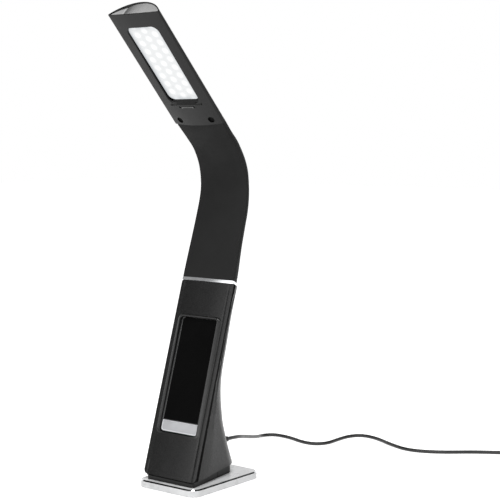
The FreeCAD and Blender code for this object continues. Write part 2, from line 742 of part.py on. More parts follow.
def neck_sleeve():
    """The soft skin of the neck, from the ring to the head, hollow all the way."""
    def skin(inset, margin):
        step = (NECK_LENGTH + 2 * margin) / (SLEEVE_STATIONS - 1)
        wires = [neck_wire(step * number - margin, inset) for number in range(SLEEVE_STATIONS)]
        return Part.makeLoft(wires, True, False)
    solid("neck_sleeve", skin(0, 0).cut(skin(size("sleeve_wall"), size("sleeve_wall"))))


# ---------------------------------------------------------------- head
SHELL_TOP = size("head_length") - size("cap_height")


def head_blank(inset, low, high):
    """The head's outer form, or the same pulled in by an inset."""
    fall = (size("head_front_seam") - size("head_front_tip")) / size("head_length")
    wires = [lens_wire(size("head_width") - 2 * inset, size("head_front_seam") - fall * height - inset,
                       size("head_back") - inset, tilted(V(0, 0, height), 0)) for height in (low, high)]
    return Part.makeLoft(wires, True, True)


def head_half(behind):
    """A very large block on one side of the plane where the two covers meet."""
    gap = size("shell_gap") / 2
    return Part.makeBox(BIG, BIG, BIG, V(-BIG / 2, gap if behind else -BIG - gap, -BIG / 2))


def head_shell(behind):
    wall = size("head_wall")
    shell = head_blank(0, 0, SHELL_TOP).cut(head_blank(wall, -wall, SHELL_TOP + wall))
    return shell.common(head_half(behind))


LIGHT_LENGTH = size("head_length") - size("light_low") - size("light_tip_margin")


def light_block(grow, front, back):
    """A block of the light window's outline between two depths of the head."""
    width = size("light_width") + 2 * grow
    length = LIGHT_LENGTH + 2 * grow
    block = Part.makeBox(width, back - front, length, V(-width / 2, front, size("light_low") - grow))
    across = runs_along(V(0, 1, 0))
    return block.makeFillet(size("light_corner") + grow, [edge for edge in block.Edges if across(edge)])


DIFFUSER_FRONT = -size("diffuser_front")
DIFFUSER_BACK = DIFFUSER_FRONT + size("diffuser_thickness")
LED_BOARD_FRONT = DIFFUSER_BACK + size("light_box_depth")
LED_BOARD_BACK = LED_BOARD_FRONT + size("led_board_thickness")
SPREADER_BACK = LED_BOARD_BACK + size("spreader_thickness")
BOSS_FLOOR = -size("head_boss_floor")
SCREW_SIDES = (-size("head_screw_side"), size("head_screw_side"))


def head_front_cover():
    """The cover with the light's window, a slot for a fingertip and two sunk holes for the screws."""
    low = size("head_screw_place")
    shape = head_shell(False)
    inner = head_blank(size("head_wall") / 2, 0, SHELL_TOP)
    for x in SCREW_SIDES:
        boss = peg(size("head_boss_radius"), size("head_boss_back") + size("head_front_seam"),
                   x, -size("head_front_seam"), low)
        shape = shape.fuse(boss.common(inner))
    depth = size("head_back")
    for x in SCREW_SIDES:
        shape = shape.cut(peg(size("head_screw_hole"), depth, x, BOSS_FLOOR - depth, low))
        shape = shape.cut(peg(size("head_screw_shank") + size("screw_gap"), depth, x, BOSS_FLOOR, low))
    shape = shape.cut(light_block(size("light_gap"), -size("head_back"), size("head_back")))
    width = size("slot_width")
    depth = size("head_front_seam") - size("slot_depth")
    slot = Part.makeBox(width, size("head_back"), size("slot_height"),
                        V(-width / 2, -depth - size("head_back"), size("slot_place")))
    solid("head_front_cover", shape.cut(slot), HEAD)


def head_rear_cover():
    """The domed cover, with two posts that carry the heat spreader."""
    shape = head_shell(True)
    inner = head_blank(size("head_wall") / 2, 0, SHELL_TOP)
    low = size("light_low") + size("post_inset")
    high = size("light_low") + LIGHT_LENGTH - size("post_inset")
    for height in (low, high):
        post = peg(size("post_radius"), size("head_back"), 0, SPREADER_BACK, height)
        shape = shape.fuse(post.common(inner))
    solid("head_rear_cover", shape.removeSplitter(), HEAD)


LED_COUNTS = (8, 9, 8)      # LEDs in the left, middle and right column


def light_pack():
    """Diffuser, light box, LED board, LEDs and heat spreader, stacked behind the window."""
    solid("light_diffuser", light_block(0, DIFFUSER_FRONT, DIFFUSER_BACK), HEAD)
    wall = size("light_box_wall")
    walls = light_block(0, DIFFUSER_BACK, LED_BOARD_FRONT)
    solid("light_box", walls.cut(light_block(-wall, DIFFUSER_FRONT, LED_BOARD_BACK)), HEAD)
    solid("led_board", light_block(0, LED_BOARD_FRONT, LED_BOARD_BACK), HEAD)
    solid("heat_spreader", light_block(-size("spreader_inset"), LED_BOARD_BACK, SPREADER_BACK), HEAD)
    leds = []
    middle = size("light_low") + LIGHT_LENGTH / 2
    pitch = (LIGHT_LENGTH - 2 * size("led_end_margin")) / (max(LED_COUNTS) - 1)
    for column, count in zip((-1, 0, 1), LED_COUNTS):
        for row in range(count):
            x = column * size("led_column") - size("led_width") / 2
            z = middle + (row - (count - 1) / 2) * pitch - size("led_length") / 2
            leds.append(Part.makeBox(size("led_width"), size("led_height"), size("led_length"),
                                     V(x, LED_BOARD_FRONT - size("led_height"), z)))
    solid("leds", Part.makeCompound(leds), HEAD)


def screw_pegs(grow):
    """The two head screws from their seat inwards, or their holes."""
    length = size("head_boss_back") - BOSS_FLOOR + size("head_screw_grip")
    return [peg(size("head_screw_shank") + grow, length + grow, x, BOSS_FLOOR, size("head_screw_place"))
            for x in SCREW_SIDES]


def head_screws():
    height = size("head_screw_head")
    heads = [peg(size("head_screw_radius"), height, x, BOSS_FLOOR - height, size("head_screw_place"))
             for x in SCREW_SIDES]
    screws = [head.fuse(shank).removeSplitter() for head, shank in zip(heads, screw_pegs(0))]
    solid("head_screws", Part.makeCompound(screws), HEAD)


def neck_upper_clamp():
    """The plug in the top of the sleeve, widened into a block that the two head screws hold."""
    grip = size("clamp_grip")
    ends = [neck_wire(NECK_LENGTH - grip, PLUG_INSET), neck_wire(NECK_LENGTH, PLUG_INSET)]
    spigot = Part.makeLoft(ends, True, True)
    block = head_blank(size("head_wall") + size("former_gap"), 0, grip)
    front = size("head_boss_back") + size("glue_gap")
    block = block.common(Part.makeBox(BIG, BIG, BIG, V(-BIG / 2, front, -BIG / 2)))
    for hole in screw_pegs(size("thread_gap")):
        block = block.cut(hole)
    wire_way = V(0, size("core_depth") + size("head_step"), 0)
    block = block.cut(Part.makeCylinder(size("wire_radius"), grip, wire_way))
    block.Placement = HEAD
    bore = core_rod(len(PIVOTS), size("core_radius") + size("core_clearance"))
    solid("neck_upper_clamp", largest(spigot.cut(bore).fuse(block).removeSplitter()))


def end_cap():
    """The cap on the tip: a thin rim round a sunk insert."""
    top = size("head_length")
    floor = top - size("insert_sink") - size("insert_thickness")
    rim = size("cap_rim")
    cap = head_blank(0, SHELL_TOP, top)
    solid("end_cap", cap.cut(head_blank(rim, floor, top + size("cap_height"))), HEAD)
    solid("end_cap_insert", head_blank(rim + size("shell_gap") / 2, floor, top - size("insert_sink")), HEAD)


# ---------------------------------------------------------------- power lead
EXIT_HEIGHT = size("lead_exit_height")
WALL_BACK = column_back_at(EXIT_HEIGHT)
WALL_INNER = inner_wall_y(EXIT_HEIGHT)
LEAD_RADIUS = size("lead_diameter") / 2
FLOOR_LINE = LEAD_RADIUS + size("desk_gap")

# The coil of spare lead lies behind the lamp on the desk.
COIL_MIDDLE = V(size("coil_side"), size("coil_behind"), 0)
COIL_OUTER_TURN = size("coil_radius") + LEAD_RADIUS
COIL_HEIGHT = size("lead_diameter") * size("coil_layers")
TOP_LINE = size("desk_gap") + COIL_HEIGHT - LEAD_RADIUS


def on_coil(degrees, height):
    """A point on the outer turn of the coil."""
    turn = math.radians(degrees)
    return COIL_MIDDLE + V(math.cos(turn), math.sin(turn), 0) * COIL_OUTER_TURN + V(0, 0, height)


# The lead leaves the back, comes down to the desk and runs along it in loose waves to the coil.
LEAD_ROUTE = [V(0, WALL_BACK + size("relief_reach"), EXIT_HEIGHT), V(0, 55, 33), V(-12, 80, 27),
              V(-37, 124, 15), V(-56, 160, 6)]
LEAD_ROUTE += [V(x, y, FLOOR_LINE) for x, y in
               ((-68, 180), (-60, 193.5), (-38, 192), (-15, 183), (0, 184), (8.5, 195.5), (7, 216),
                (7.6, 237), (17, 249), (37, 246), (62, 232), (90, 221), (119, 232), (147, 257), (176, 274))]
LEAD_ROUTE.append(on_coil(-51.6, FLOOR_LINE))

# The far end comes off the top of the coil and down to the plug beside it.
TAIL_ROUTE = [on_coil(20, TOP_LINE), V(201, 331, 10.5), V(191, 341, 6), V(178, 346.5, 3.9), V(166, 349, 3.6)]


def rounded_route(points):
    """Straight runs joined by tangent arcs, each as large as its two runs allow."""
    edges = []
    radii = []
    start = points[0]
    for before, corner, after in zip(points, points[1:], points[2:]):
        way_in = corner - before
        way_out = after - corner
        reach = 0.45 * min(way_in.Length, way_out.Length)
        way_in.normalize()
        way_out.normalize()
        half_turn = way_in.getAngle(way_out) / 2
        radius = reach / math.tan(half_turn)
        radii.append(radius)
        first = corner - way_in * reach
        last = corner + way_out * reach
        inside = way_out - way_in
        inside.normalize()
        middle = corner + inside * (radius / math.cos(half_turn) - radius)
        edges += [Part.LineSegment(start, first).toShape(), Part.Arc(first, middle, last).toShape()]
        start = last
    edges.append(Part.LineSegment(start, points[-1]).toShape())
    return Part.Wire(edges), radii


def tube_along(points, label):
    """A round tube along a route. Its volume is compared with its section times its length."""
    path, radii = rounded_route(points)
    profile = Part.Wire(Part.makeCircle(LEAD_RADIUS, points[0], points[1] - points[0]))
    shape = path.makePipeShell([profile], True, True)
    ratio = shape.Volume / (math.pi * LEAD_RADIUS ** 2 * path.Length)
    print("%s: length %.0f, volume ratio %.4f" % (label, path.Length, ratio))
    print("  radii:", " ".join("%.0f" % one for one in radii))
    solid(label, shape)


def lead_connector():
    """The barrel connector: a pin in the jack, a body in the wall and a tapered relief round the lead."""
    inner = size("relief_radius_inner")
    body = peg(inner, WALL_BACK - WALL_INNER, 0, WALL_INNER, EXIT_HEIGHT)
    taper = Part.makeCone(inner, size("relief_radius_outer"), size("relief_reach"),
                          V(0, WALL_BACK, EXIT_HEIGHT), V(0, 1, 0))
    pin = peg(size("pin_radius"), size("pin_length"), 0, WALL_INNER - size("pin_length"), EXIT_HEIGHT)
    solid("lead_connector", body.fuse(taper).fuse(pin).removeSplitter())


def power_jack():
    """The socket behind the wall, cut to lie against the wall's slope."""
    width = size("jack_width")
    height = size("jack_height")
    low = EXIT_HEIGHT - height / 2
    start = WALL_INNER - size("jack_depth")
    block = Part.makeBox(width, column_back_at(low) - start, height, V(-width / 2, start, low))
    block = largest(block.common(cavity(size("glue_gap"))))
    pin_hole = peg(size("pin_radius") + size("pin_gap"), size("pin_length") + size("pin_gap") + WALL_REACH, 0,
                   WALL_INNER - size("pin_length") - size("pin_gap"), EXIT_HEIGHT)
    body_hole = peg(size("relief_radius_inner") + size("pin_gap"), WALL_REACH, 0, WALL_INNER, EXIT_HEIGHT)
    solid("power_jack", largest(block.cut(pin_hole).cut(body_hole)))


def lead_coil():
    """The wound-up rest of the lead: one closed ring of the coil's outer shape."""
    half = size("lead_diameter") * size("coil_columns") / 2
    place = COIL_MIDDLE + V(0, 0, size("desk_gap"))
    ring = Part.makeCylinder(size("coil_radius") + half, COIL_HEIGHT, place)
    ring = ring.cut(Part.makeCylinder(size("coil_radius") - half, COIL_HEIGHT, place))
    solid("lead_coil", ring.makeFillet(size("coil_round"), [edge for edge in ring.Edges if edge.isClosed()]))


def lead_plug():
    """The moulded plug at the far end: a grip, and a flat metal shell round a tongue."""
    end = TAIL_ROUTE[-1]
    way = end - TAIL_ROUTE[-2]
    angle = math.degrees(math.atan2(way.y, way.x))
    place = FreeCAD.Placement(V(end.x, end.y, 0), FreeCAD.Rotation(V(0, 0, 1), angle))
    length = size("plug_grip_length")
    width = size("plug_grip_width")
    height = size("plug_grip_height")
    grip = Part.makeBox(length, width, height, V(0, -width / 2, size("desk_gap")))
    lengthwise = runs_along(V(1, 0, 0))
    grip = grip.makeFillet(size("plug_grip_round"), [edge for edge in grip.Edges if lengthwise(edge)])
    solid("plug_grip", grip, place)
    width = size("plug_shell_width")
    tall = size("plug_shell_height")
    wall = size("plug_shell_wall")
    low = size("desk_gap") + (height - tall) / 2
    reach = size("plug_shell_length")
    shell = Part.makeBox(reach, width, tall, V(length, -width / 2, low))
    hollow = Part.makeBox(reach, width - 2 * wall, tall - 2 * wall, V(length, -width / 2 + wall, low + wall))
    tongue = Part.makeBox(reach - wall, width - 2 * wall, size("plug_tongue_height"),
                          V(length, -width / 2 + wall, low + wall))
    solid("plug_shell", shell.cut(hollow), place)
    solid("plug_tongue", tongue, place)


# ---------------------------------------------------------------- the whole lamp
def build():
    base_plate()
    anti_slip_pad()
    column_screws()
    base_collar()
    rear_leather()
    column_frame()
    front_leather()
    front_panel()
    window_rim()
    display_window()
    touch_bar()
    touch_foil()
    lcd_module()
    main_board()
    clock_cell()
    key_guide()
    set_keys()
    key_board()
    trim_ring()
    neck_lower_clamp()
    for number in range(len(PIVOTS) + 1):
        gooseneck(number)
    for number in range(1, len(PIVOTS)):
        neck_former(number)
    neck_sleeve()
    neck_upper_clamp()
    head_front_cover()
    head_rear_cover()
    light_pack()
    head_screws()
    end_cap()
    lead_connector()
    power_jack()
    tube_along(LEAD_ROUTE, "power_lead")
    lead_coil()
    tube_along(TAIL_ROUTE, "lead_tail")
    lead_plug()


def write():
    """Check every object, then write each sub-part to its own file."""
    doc.recompute()
    faults = [obj.Label for obj in doc.Objects if "Invalid" in obj.State or "Error" in obj.State]
    faults += [obj.Label for obj in made if obj.Shape.isNull() or not obj.Shape.isValid()]
    if faults:
        raise RuntimeError("not built: " + ", ".join(faults))
    os.makedirs("parts", exist_ok=True)
    for obj in made:
        obj.Shape.exportStep(os.path.join("parts", obj.Label + ".step"))
        print("%-18s solids %2d, volume %6.0f mm3" % (obj.Label, len(obj.Shape.Solids), obj.Shape.Volume))


build()
write()
for number, pivot in enumerate(PIVOTS, start=1):
    print("pivot %d: y %.3f z %.3f" % (number, pivot.y, pivot.z))
print("head lean %.2f, neck length %.2f" % (HEAD_LEAN, NECK_LENGTH))
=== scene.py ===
# %% [markdown]
# # A leather-clad desk lamp, dressed in Blender
#
# The lamp is already built as a CAD model: a heavy plate, a leaning column with a display, a soft
# neck with a gooseneck inside, and a flat head with an LED window. This lesson loads that model as
# a fixed frame and then makes the surfaces that a person sees and touches: leather with its
# stitching, soft-touch rubber, moulded plastic, polished metal, glass and a rubber lead.
#
# All lengths are metres. X runs across the lamp, the display faces -Y, and Z is up from the desk.

# %% Load the CAD frame
import math

import bpy
import bmesh
from mathutils import Matrix, Vector


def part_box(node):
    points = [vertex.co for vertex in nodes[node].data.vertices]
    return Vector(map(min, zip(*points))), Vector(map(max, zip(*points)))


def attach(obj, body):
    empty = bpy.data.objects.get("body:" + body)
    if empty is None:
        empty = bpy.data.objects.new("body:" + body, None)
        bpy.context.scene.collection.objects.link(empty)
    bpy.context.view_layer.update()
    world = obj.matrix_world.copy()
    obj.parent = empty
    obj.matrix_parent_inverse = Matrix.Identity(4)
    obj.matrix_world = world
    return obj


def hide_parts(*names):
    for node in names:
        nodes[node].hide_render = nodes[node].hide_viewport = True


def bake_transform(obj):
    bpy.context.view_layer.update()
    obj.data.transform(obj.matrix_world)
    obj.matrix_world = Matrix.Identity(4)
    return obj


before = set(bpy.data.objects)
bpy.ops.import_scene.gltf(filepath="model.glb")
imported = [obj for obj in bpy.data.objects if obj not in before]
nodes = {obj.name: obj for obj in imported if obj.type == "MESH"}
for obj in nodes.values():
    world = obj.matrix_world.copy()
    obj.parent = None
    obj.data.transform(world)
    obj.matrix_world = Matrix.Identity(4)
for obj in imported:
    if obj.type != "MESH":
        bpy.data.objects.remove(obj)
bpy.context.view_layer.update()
print("CAD nodes:", len(nodes))

# %% [markdown]
# ## The camera
#
# A camera in Blender looks along its own -Z axis, with +Y up. Turning it up from the floor by the
# X angle and then round by the Z angle aims it. It stands in front of the lamp to the right, about
# as high as the neck's upper end, and its long lens keeps the column's edges nearly parallel.

# %% Camera
MM = 0.001
CAMERA_PLACE = (0.7860, -0.9159, 0.3220)
LENS = 95.05                # focal length in millimetres
LOOKS_DOWN = 4.983          # degrees below the horizon
TURNED_ROUND = 38.401       # degrees from facing +Y


def linked(name, data):
    """A new object in the scene that shows some data: a mesh, a curve, a lamp or a camera."""
    obj = bpy.data.objects.new(name, data)
    bpy.context.collection.objects.link(obj)
    return obj


camera_data = bpy.data.cameras.new("camera")
camera_data.lens = LENS
camera_data.clip_end = 20
camera = linked("camera", camera_data)
camera.location = CAMERA_PLACE
camera.rotation_euler = (math.radians(90 - LOOKS_DOWN), 0, math.radians(TURNED_ROUND))
bpy.context.scene.camera = camera
bpy.context.scene.view_settings.view_transform = "Standard"

# %% [markdown]
# ## Places in the lamp
#
# The column leans back, the neck bends forwards over it, and the head points up and forwards. Each
# part has a local frame: X across, Y from its front face into it, and Z along it. A 4x4 matrix
# holds such a frame, so a piece can be modelled upright and then set in its place.

# %% Local frames
COLUMN_FOOT = (0, -42.5 * MM, 12.4 * MM)    # the front edge of the column, where it meets its sole
COLUMN_LEAN = 17.6                          # degrees backwards
COLUMN_LENGTH = 182.6 * MM
SOLE_TILT = 4.0                             # degrees by which the sole's top slopes down to the back
RING_HEIGHT = 2.9 * MM
HEAD_LEAN = 43.4                            # degrees forwards
HEAD_STEP = 2.2 * MM                        # from the neck's widest line forwards to the head's front


def leaning(point, degrees):
    """The frame at a point, with its Z axis turned towards -Y by some degrees."""
    return Matrix.Translation(point) @ Matrix.Rotation(math.radians(degrees), 4, "X")


COLUMN = leaning(COLUMN_FOOT, -COLUMN_LEAN)
SOLE = leaning(COLUMN_FOOT, SOLE_TILT)
RING = COLUMN @ Matrix.Translation((0, 0, COLUMN_LENGTH))
NECK_FOOT = RING @ Vector((0, 0, RING_HEIGHT))
# The neck's widest line: a straight leg, two bends and a straight end, as (length, degrees turned).
# A bend's length is its angle in radians times its radius.
NECK_LEGS = [(57.0 * MM, 0), (math.radians(29) * 100 * MM, 29),
             (math.radians(32) * 48 * MM, 32), (25 * MM, 0)]
NECK_LENGTH = sum(length for length, turn in NECK_LEGS)


def neck_place(run):
    """The frame at a run along the neck's widest line."""
    place = leaning(NECK_FOOT, -COLUMN_LEAN)
    for length, turn in NECK_LEGS:
        part = min(run, length)
        if part <= 0:
            break
        share = math.radians(turn) * part / length
        chord = part if not turn else 2 * length / math.radians(turn) * math.sin(share / 2)
        half = Matrix.Rotation(share / 2, 4, "X")
        place = place @ half @ Matrix.Translation((0, 0, chord)) @ half
        run -= part
    return place


HEAD = neck_place(NECK_LENGTH) @ Matrix.Translation((0, -HEAD_STEP, 0))
print("neck %.1f mm long, head at" % (NECK_LENGTH / MM), [round(v / MM, 1) for v in HEAD.translation])

# %% [markdown]
# ## Small modelling helpers
#
# Every piece below starts as a `bmesh`, which is Blender's editable mesh in memory. These helpers
# turn a finished bmesh into an object, tell the frame which body it rides on, and shade it: faces
# are smooth, and edges sharper than a limit stay crisp.

# %% Helpers
def shade(bm, limit=34):
    """Smooth faces, with crisp edges where two faces meet at more than the limit."""
    for face in bm.faces:
        face.smooth = True
    for edge in bm.edges:
        edge.smooth = len(edge.link_faces) == 2 and edge.calc_face_angle(0) < math.radians(limit)


def piece(name, bm, material, body="root", stands_for=(), limit=34, weighted=True):
    """Make the bmesh an object of this material that rides on a body."""
    shade(bm, limit)
    mesh = bpy.data.meshes.new(name)
    bm.to_mesh(mesh)
    bm.free()
    mesh.materials.append(material)
    obj = linked(name, mesh)
    if weighted:
        obj.modifiers.new("weighted_normals", "WEIGHTED_NORMAL").keep_sharp = True
    if body:
        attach(obj, body)
    if stands_for:
        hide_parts(*stands_for)
    return obj


def apply_modifiers(obj):
    """Make what an object's modifiers show its own mesh, and take them off."""
    bpy.context.view_layer.update()
    shown = obj.evaluated_get(bpy.context.evaluated_depsgraph_get())
    obj.data = bpy.data.meshes.new_from_object(shown)
    obj.modifiers.clear()


def merged_copy(node):
    """A copy of a CAD node's triangles, joined up and with its flat areas made whole."""
    bm = bmesh.new()
    bm.from_mesh(nodes[node].data)
    bmesh.ops.remove_doubles(bm, verts=bm.verts, dist=0.002 * MM)
    bmesh.ops.dissolve_limit(bm, angle_limit=math.radians(0.3), verts=bm.verts, edges=bm.edges)
    return bm


def soften(bm, edges, width, segments=3):
    """Round off some edges."""
    return bmesh.ops.bevel(bm, geom=edges, offset=width, offset_type="OFFSET", affect="EDGES",
                           segments=segments, profile=0.5, material=-1, clamp_overlap=True)


def round_corners(bm, corners, radius, segments):
    """Round off some corners of a flat face."""
    bmesh.ops.bevel(bm, geom=corners, offset=radius, offset_type="OFFSET", affect="VERTICES",
                    segments=segments, profile=0.5, material=-1)


def everything(bm):
    """All that a bmesh holds, as its operators want it."""
    return bm.verts[:] + bm.edges[:] + bm.faces[:]


def verts_in(geometry):
    """The vertices in what an operator gives back."""
    return [one for one in geometry if isinstance(one, bmesh.types.BMVert)]


def edges_in(geometry):
    """The edges in what an operator gives back."""
    return [one for one in geometry if isinstance(one, bmesh.types.BMEdge)]


def cut_at(bm, values, axis):
    """Cut every face of a bmesh along planes across one axis."""
    normal = Vector((0, 0, 0))
    normal[axis] = 1
    for value in values:
        bmesh.ops.bisect_plane(bm, geom=everything(bm), plane_co=normal * value, plane_no=normal)


def creases(bm, within, degrees):
    """The edges for which within(edge) is true and whose two faces meet at more than some degrees."""
    return [e for e in bm.edges if within(e) and len(e.link_faces) == 2
            and e.calc_face_angle(0) > math.radians(degrees)]


def rounded_face(bm, width, low, high, corners, segments=8):
    """A flat face in the XZ plane that looks along -Y. Corners are (radius below, radius above)."""
    grid = bmesh.ops.create_grid(bm, x_segments=1, y_segments=1, size=0.5)
    verts = grid["verts"]
    bmesh.ops.scale(bm, vec=(width, high - low, 1), verts=verts)
    bmesh.ops.rotate(bm, matrix=Matrix.Rotation(math.pi / 2, 3, "X"), verts=verts)
    bmesh.ops.translate(bm, vec=(0, 0, (low + high) / 2), verts=verts)
    middle = (low + high) / 2
    for radius, above in zip(corners, (False, True)):
        if radius:
            round_corners(bm, [v for v in bm.verts if (v.co.z > middle) == above], radius, segments)
    face = max(bm.faces, key=lambda one: one.calc_area())
    if face.normal.y > 0:
        bmesh.ops.reverse_faces(bm, faces=[face])
    return face


OUTLINE_SEGMENTS = 5        # in each corner of a layered body


def outline(half, low, high, corners, depth):
    """The corners of a rounded window at a depth, in order."""
    held = bmesh.new()
    face = rounded_face(held, 2 * half * MM, low, high, corners, OUTLINE_SEGMENTS)
    points = [v.co + Vector((0, depth * MM, 0)) for v in face.verts]
    held.free()
    return points


def layered(bm, layers, closed=False):
    """A body of outlines, each extruded from the one before and then moved to its own corners.

    A layer is (half width, low, high, corner radii, depth). A closed body is a frame: its last
    outline is joined to its first. An open one is a slab whose front is filled in.
    """
    half, low, high, corners, depth = layers[0]
    face = rounded_face(bm, 2 * half * MM, low, high, corners, OUTLINE_SEGMENTS)
    bmesh.ops.translate(bm, vec=(0, depth * MM, 0), verts=face.verts)
    ring, verts = list(face.edges), list(face.verts)
    if closed:
        bmesh.ops.delete(bm, geom=[face], context="FACES_ONLY")
    for layer in layers[1:] + ([layers[0]] if closed else []):
        grown = bmesh.ops.extrude_edge_only(bm, edges=ring)["geom"]
        fresh = set(verts_in(grown))
        verts = [next(e.other_vert(v) for e in v.link_edges if e.other_vert(v) in fresh)
                 for v in verts]
        for vert, point in zip(verts, outline(*layer)):
            vert.co = point
        ring = [e for e in edges_in(grown) if fresh.issuperset(e.verts)]
    if closed:
        bmesh.ops.remove_doubles(bm, verts=bm.verts, dist=0.0005 * MM)
    else:
        bmesh.ops.holes_fill(bm, edges=ring)
    bmesh.ops.recalc_face_normals(bm, faces=bm.faces)


def between_stops(run, stops):
    """A value at a run, eased from stop to stop. Stops are (run, value) in millimetres."""
    for (start, low), (end, high) in zip(stops, stops[1:]):
        if run <= end * MM:
            share = max(0, run / MM - start) / (end - start)
            return (low + (high - low) * share * share * (3 - 2 * share)) * MM
    return stops[-1][1] * MM


def lens_outline(bm, width, front, back, corner, steps=(28, 5, 36)):
    """A ring of edges: a shallow front arc, round corners and a deep back arc, each spun."""
    side = width / 2 - corner

    def arc(depth):
        reach = depth - corner
        drop = (side * side - reach * reach) / (2 * reach)
        return drop, math.atan2(drop, side)

    front_drop, front_angle = arc(front)
    back_drop, back_angle = arc(back)
    start = Vector((-side - corner * math.cos(front_angle), -corner * math.sin(front_angle), 0))
    last = [bm.verts.new(start)]
    first = last[0]
    front_sweep = math.pi - 2 * front_angle
    back_sweep = math.pi - 2 * back_angle
    corner_sweep = front_angle + back_angle
    arcs = (((0, front_drop, 0), front_sweep, steps[0]), ((side, 0, 0), corner_sweep, steps[1]),
            ((0, -back_drop, 0), back_sweep, steps[2]), ((-side, 0, 0), corner_sweep, steps[1]))
    for centre, sweep, count in arcs:
        spun = bmesh.ops.spin(bm, geom=last, cent=centre, axis=(0, 0, 1), dvec=(0, 0, 0), angle=sweep,
                              space=Matrix.Identity(4), steps=count, use_merge=False,
                              use_normal_flip=False, use_duplicate=False)
        last = verts_in(spun["geom_last"])
    bmesh.ops.remove_doubles(bm, verts=bm.verts, dist=0.01 * MM)
    return list(bm.edges)


def sweep_on(bm, ring, place, new_place, wide=1.0, front=1.0, back=1.0):
    """Extrude a ring of edges from one frame to the next, changing its width and depths on the way."""
    grown = bmesh.ops.extrude_edge_only(bm, edges=ring)["geom"]
    verts = verts_in(grown)
    inverse = place.inverted()
    behind = [v for v in verts if (inverse @ v.co).y > 0]
    ahead = [v for v in verts if (inverse @ v.co).y <= 0]
    bmesh.ops.scale(bm, vec=(wide, 1, 1), space=inverse, verts=verts)
    bmesh.ops.scale(bm, vec=(1, back, 1), space=inverse, verts=behind)
    bmesh.ops.scale(bm, vec=(1, front, 1), space=inverse, verts=ahead)
    bmesh.ops.transform(bm, matrix=new_place @ inverse, verts=verts)
    ends = set(verts)
    return [e for e in edges_in(grown) if ends.issuperset(e.verts)]


# %% [markdown]
# ## Surface effects as node groups
#
# Grain and fine unevenness turn up on most of the lamp's finishes at different scales. Each is one
# shader node group, built once and given its own values in each material. A group gives out only
# values, masks and normals. The shader itself stays in the material.

# %% Node groups
def new_group(name, inputs, outputs):
    """A node group with named sockets. Inputs are (name, socket type, default value)."""
    group = bpy.data.node_groups.new(name, "ShaderNodeTree")
    for label, kind, value in inputs:
        socket = group.interface.new_socket(name=label, in_out="INPUT", socket_type=kind)
        socket.default_value = value
    for label, kind in outputs:
        group.interface.new_socket(name=label, in_out="OUTPUT", socket_type=kind)
    return group, group.nodes.new("NodeGroupInput"), group.nodes.new("NodeGroupOutput")


def add(tree, kind, links=(), **settings):
    """A node in a tree. Settings name its properties, or its inputs by name with spaces as _."""
    node = tree.nodes.new(kind)
    for key, value in settings.items():
        if hasattr(node, key):
            setattr(node, key, value)
        else:
            node.inputs[key.replace("_", " ")].default_value = value
    for socket, source in links:
        tree.links.new(source, node.inputs[socket])
    return node


def maths(tree, operation, *inputs):
    """The result of a Math node. Each input is a number, or the socket that it comes from."""
    node = add(tree, "ShaderNodeMath", operation=operation)
    for socket, given in zip(node.inputs, inputs):
        if isinstance(given, bpy.types.NodeSocket):
            tree.links.new(given, socket)
        else:
            socket.default_value = given
    return node.outputs[0]


def smooth_range(tree, value, start, end, low, high):
    """A value that goes softly from low to high as another goes from start to end."""
    node = add(tree, "ShaderNodeMapRange", [("Value", value)], From_Min=start, From_Max=end,
               To_Min=low, To_Max=high)
    node.interpolation_type = "SMOOTHSTEP"
    return node.outputs[0]


FLOAT = "NodeSocketFloat"
PER_METRE = 1000            # a grain's size is in millimetres, and a texture's scale is per metre


def fine_grain():
    """Moulded or rubbery skin: fine noise for the bump, and broad patches for colour and gloss."""
    group, given, out = new_group("fine_grain", [("Size", FLOAT, 0.4), ("Patch", FLOAT, 18.0)],
                                  [("Height", FLOAT), ("Patches", FLOAT)])
    place = add(group, "ShaderNodeTexCoord").outputs["Object"]
    fine = maths(group, "DIVIDE", PER_METRE, given.outputs["Size"])
    broad = maths(group, "DIVIDE", PER_METRE, given.outputs["Patch"])
    noise = add(group, "ShaderNodeTexNoise", [("Vector", place), ("Scale", fine)], Detail=3.0,
                Roughness=0.6)
    patches = add(group, "ShaderNodeTexNoise", [("Vector", place), ("Scale", broad)], Detail=2.0)
    group.links.new(noise.outputs[0], out.inputs["Height"])
    group.links.new(patches.outputs[0], out.inputs["Patches"])
    return group


def leather_grain():
    """Pressed leather: rounded pebbles with creases between them, over slow rises and falls."""
    group, given, out = new_group("leather_grain", [("Pebble", FLOAT, 0.9)],
                                  [("Height", FLOAT), ("Creases", FLOAT), ("Patches", FLOAT)])
    place = add(group, "ShaderNodeTexCoord").outputs["Object"]
    scale = maths(group, "DIVIDE", PER_METRE, given.outputs["Pebble"])
    bend = add(group, "ShaderNodeTexNoise", [("Vector", place)], Scale=420.0, Detail=2.0)
    shift = add(group, "ShaderNodeVectorMath", [(0, bend.outputs[1])], operation="SCALE",
                Scale=1.1 * MM)
    bent = add(group, "ShaderNodeVectorMath", [(0, place), (1, shift.outputs[0])], operation="ADD")
    cells = add(group, "ShaderNodeTexVoronoi", [("Vector", bent.outputs[0]), ("Scale", scale)],
                feature="DISTANCE_TO_EDGE")
    crease = smooth_range(group, cells.outputs[0], 0, 0.16, 0, 1)
    slow = add(group, "ShaderNodeTexNoise", [("Vector", place)], Scale=75.0, Detail=3.0)
    height = maths(group, "MULTIPLY_ADD", slow.outputs[0], 0.8, crease)
    group.links.new(height, out.inputs["Height"])
    group.links.new(crease, out.inputs["Creases"])
    group.links.new(slow.outputs[0], out.inputs["Patches"])
    return group


GRAIN = fine_grain()
LEATHER = leather_grain()


def use(tree, group, **values):
    """Place a node group in a material, with its own values."""
    node = tree.nodes.new("ShaderNodeGroup")
    node.node_tree = group
    for key, value in values.items():
        node.inputs[key].default_value = value
    return node


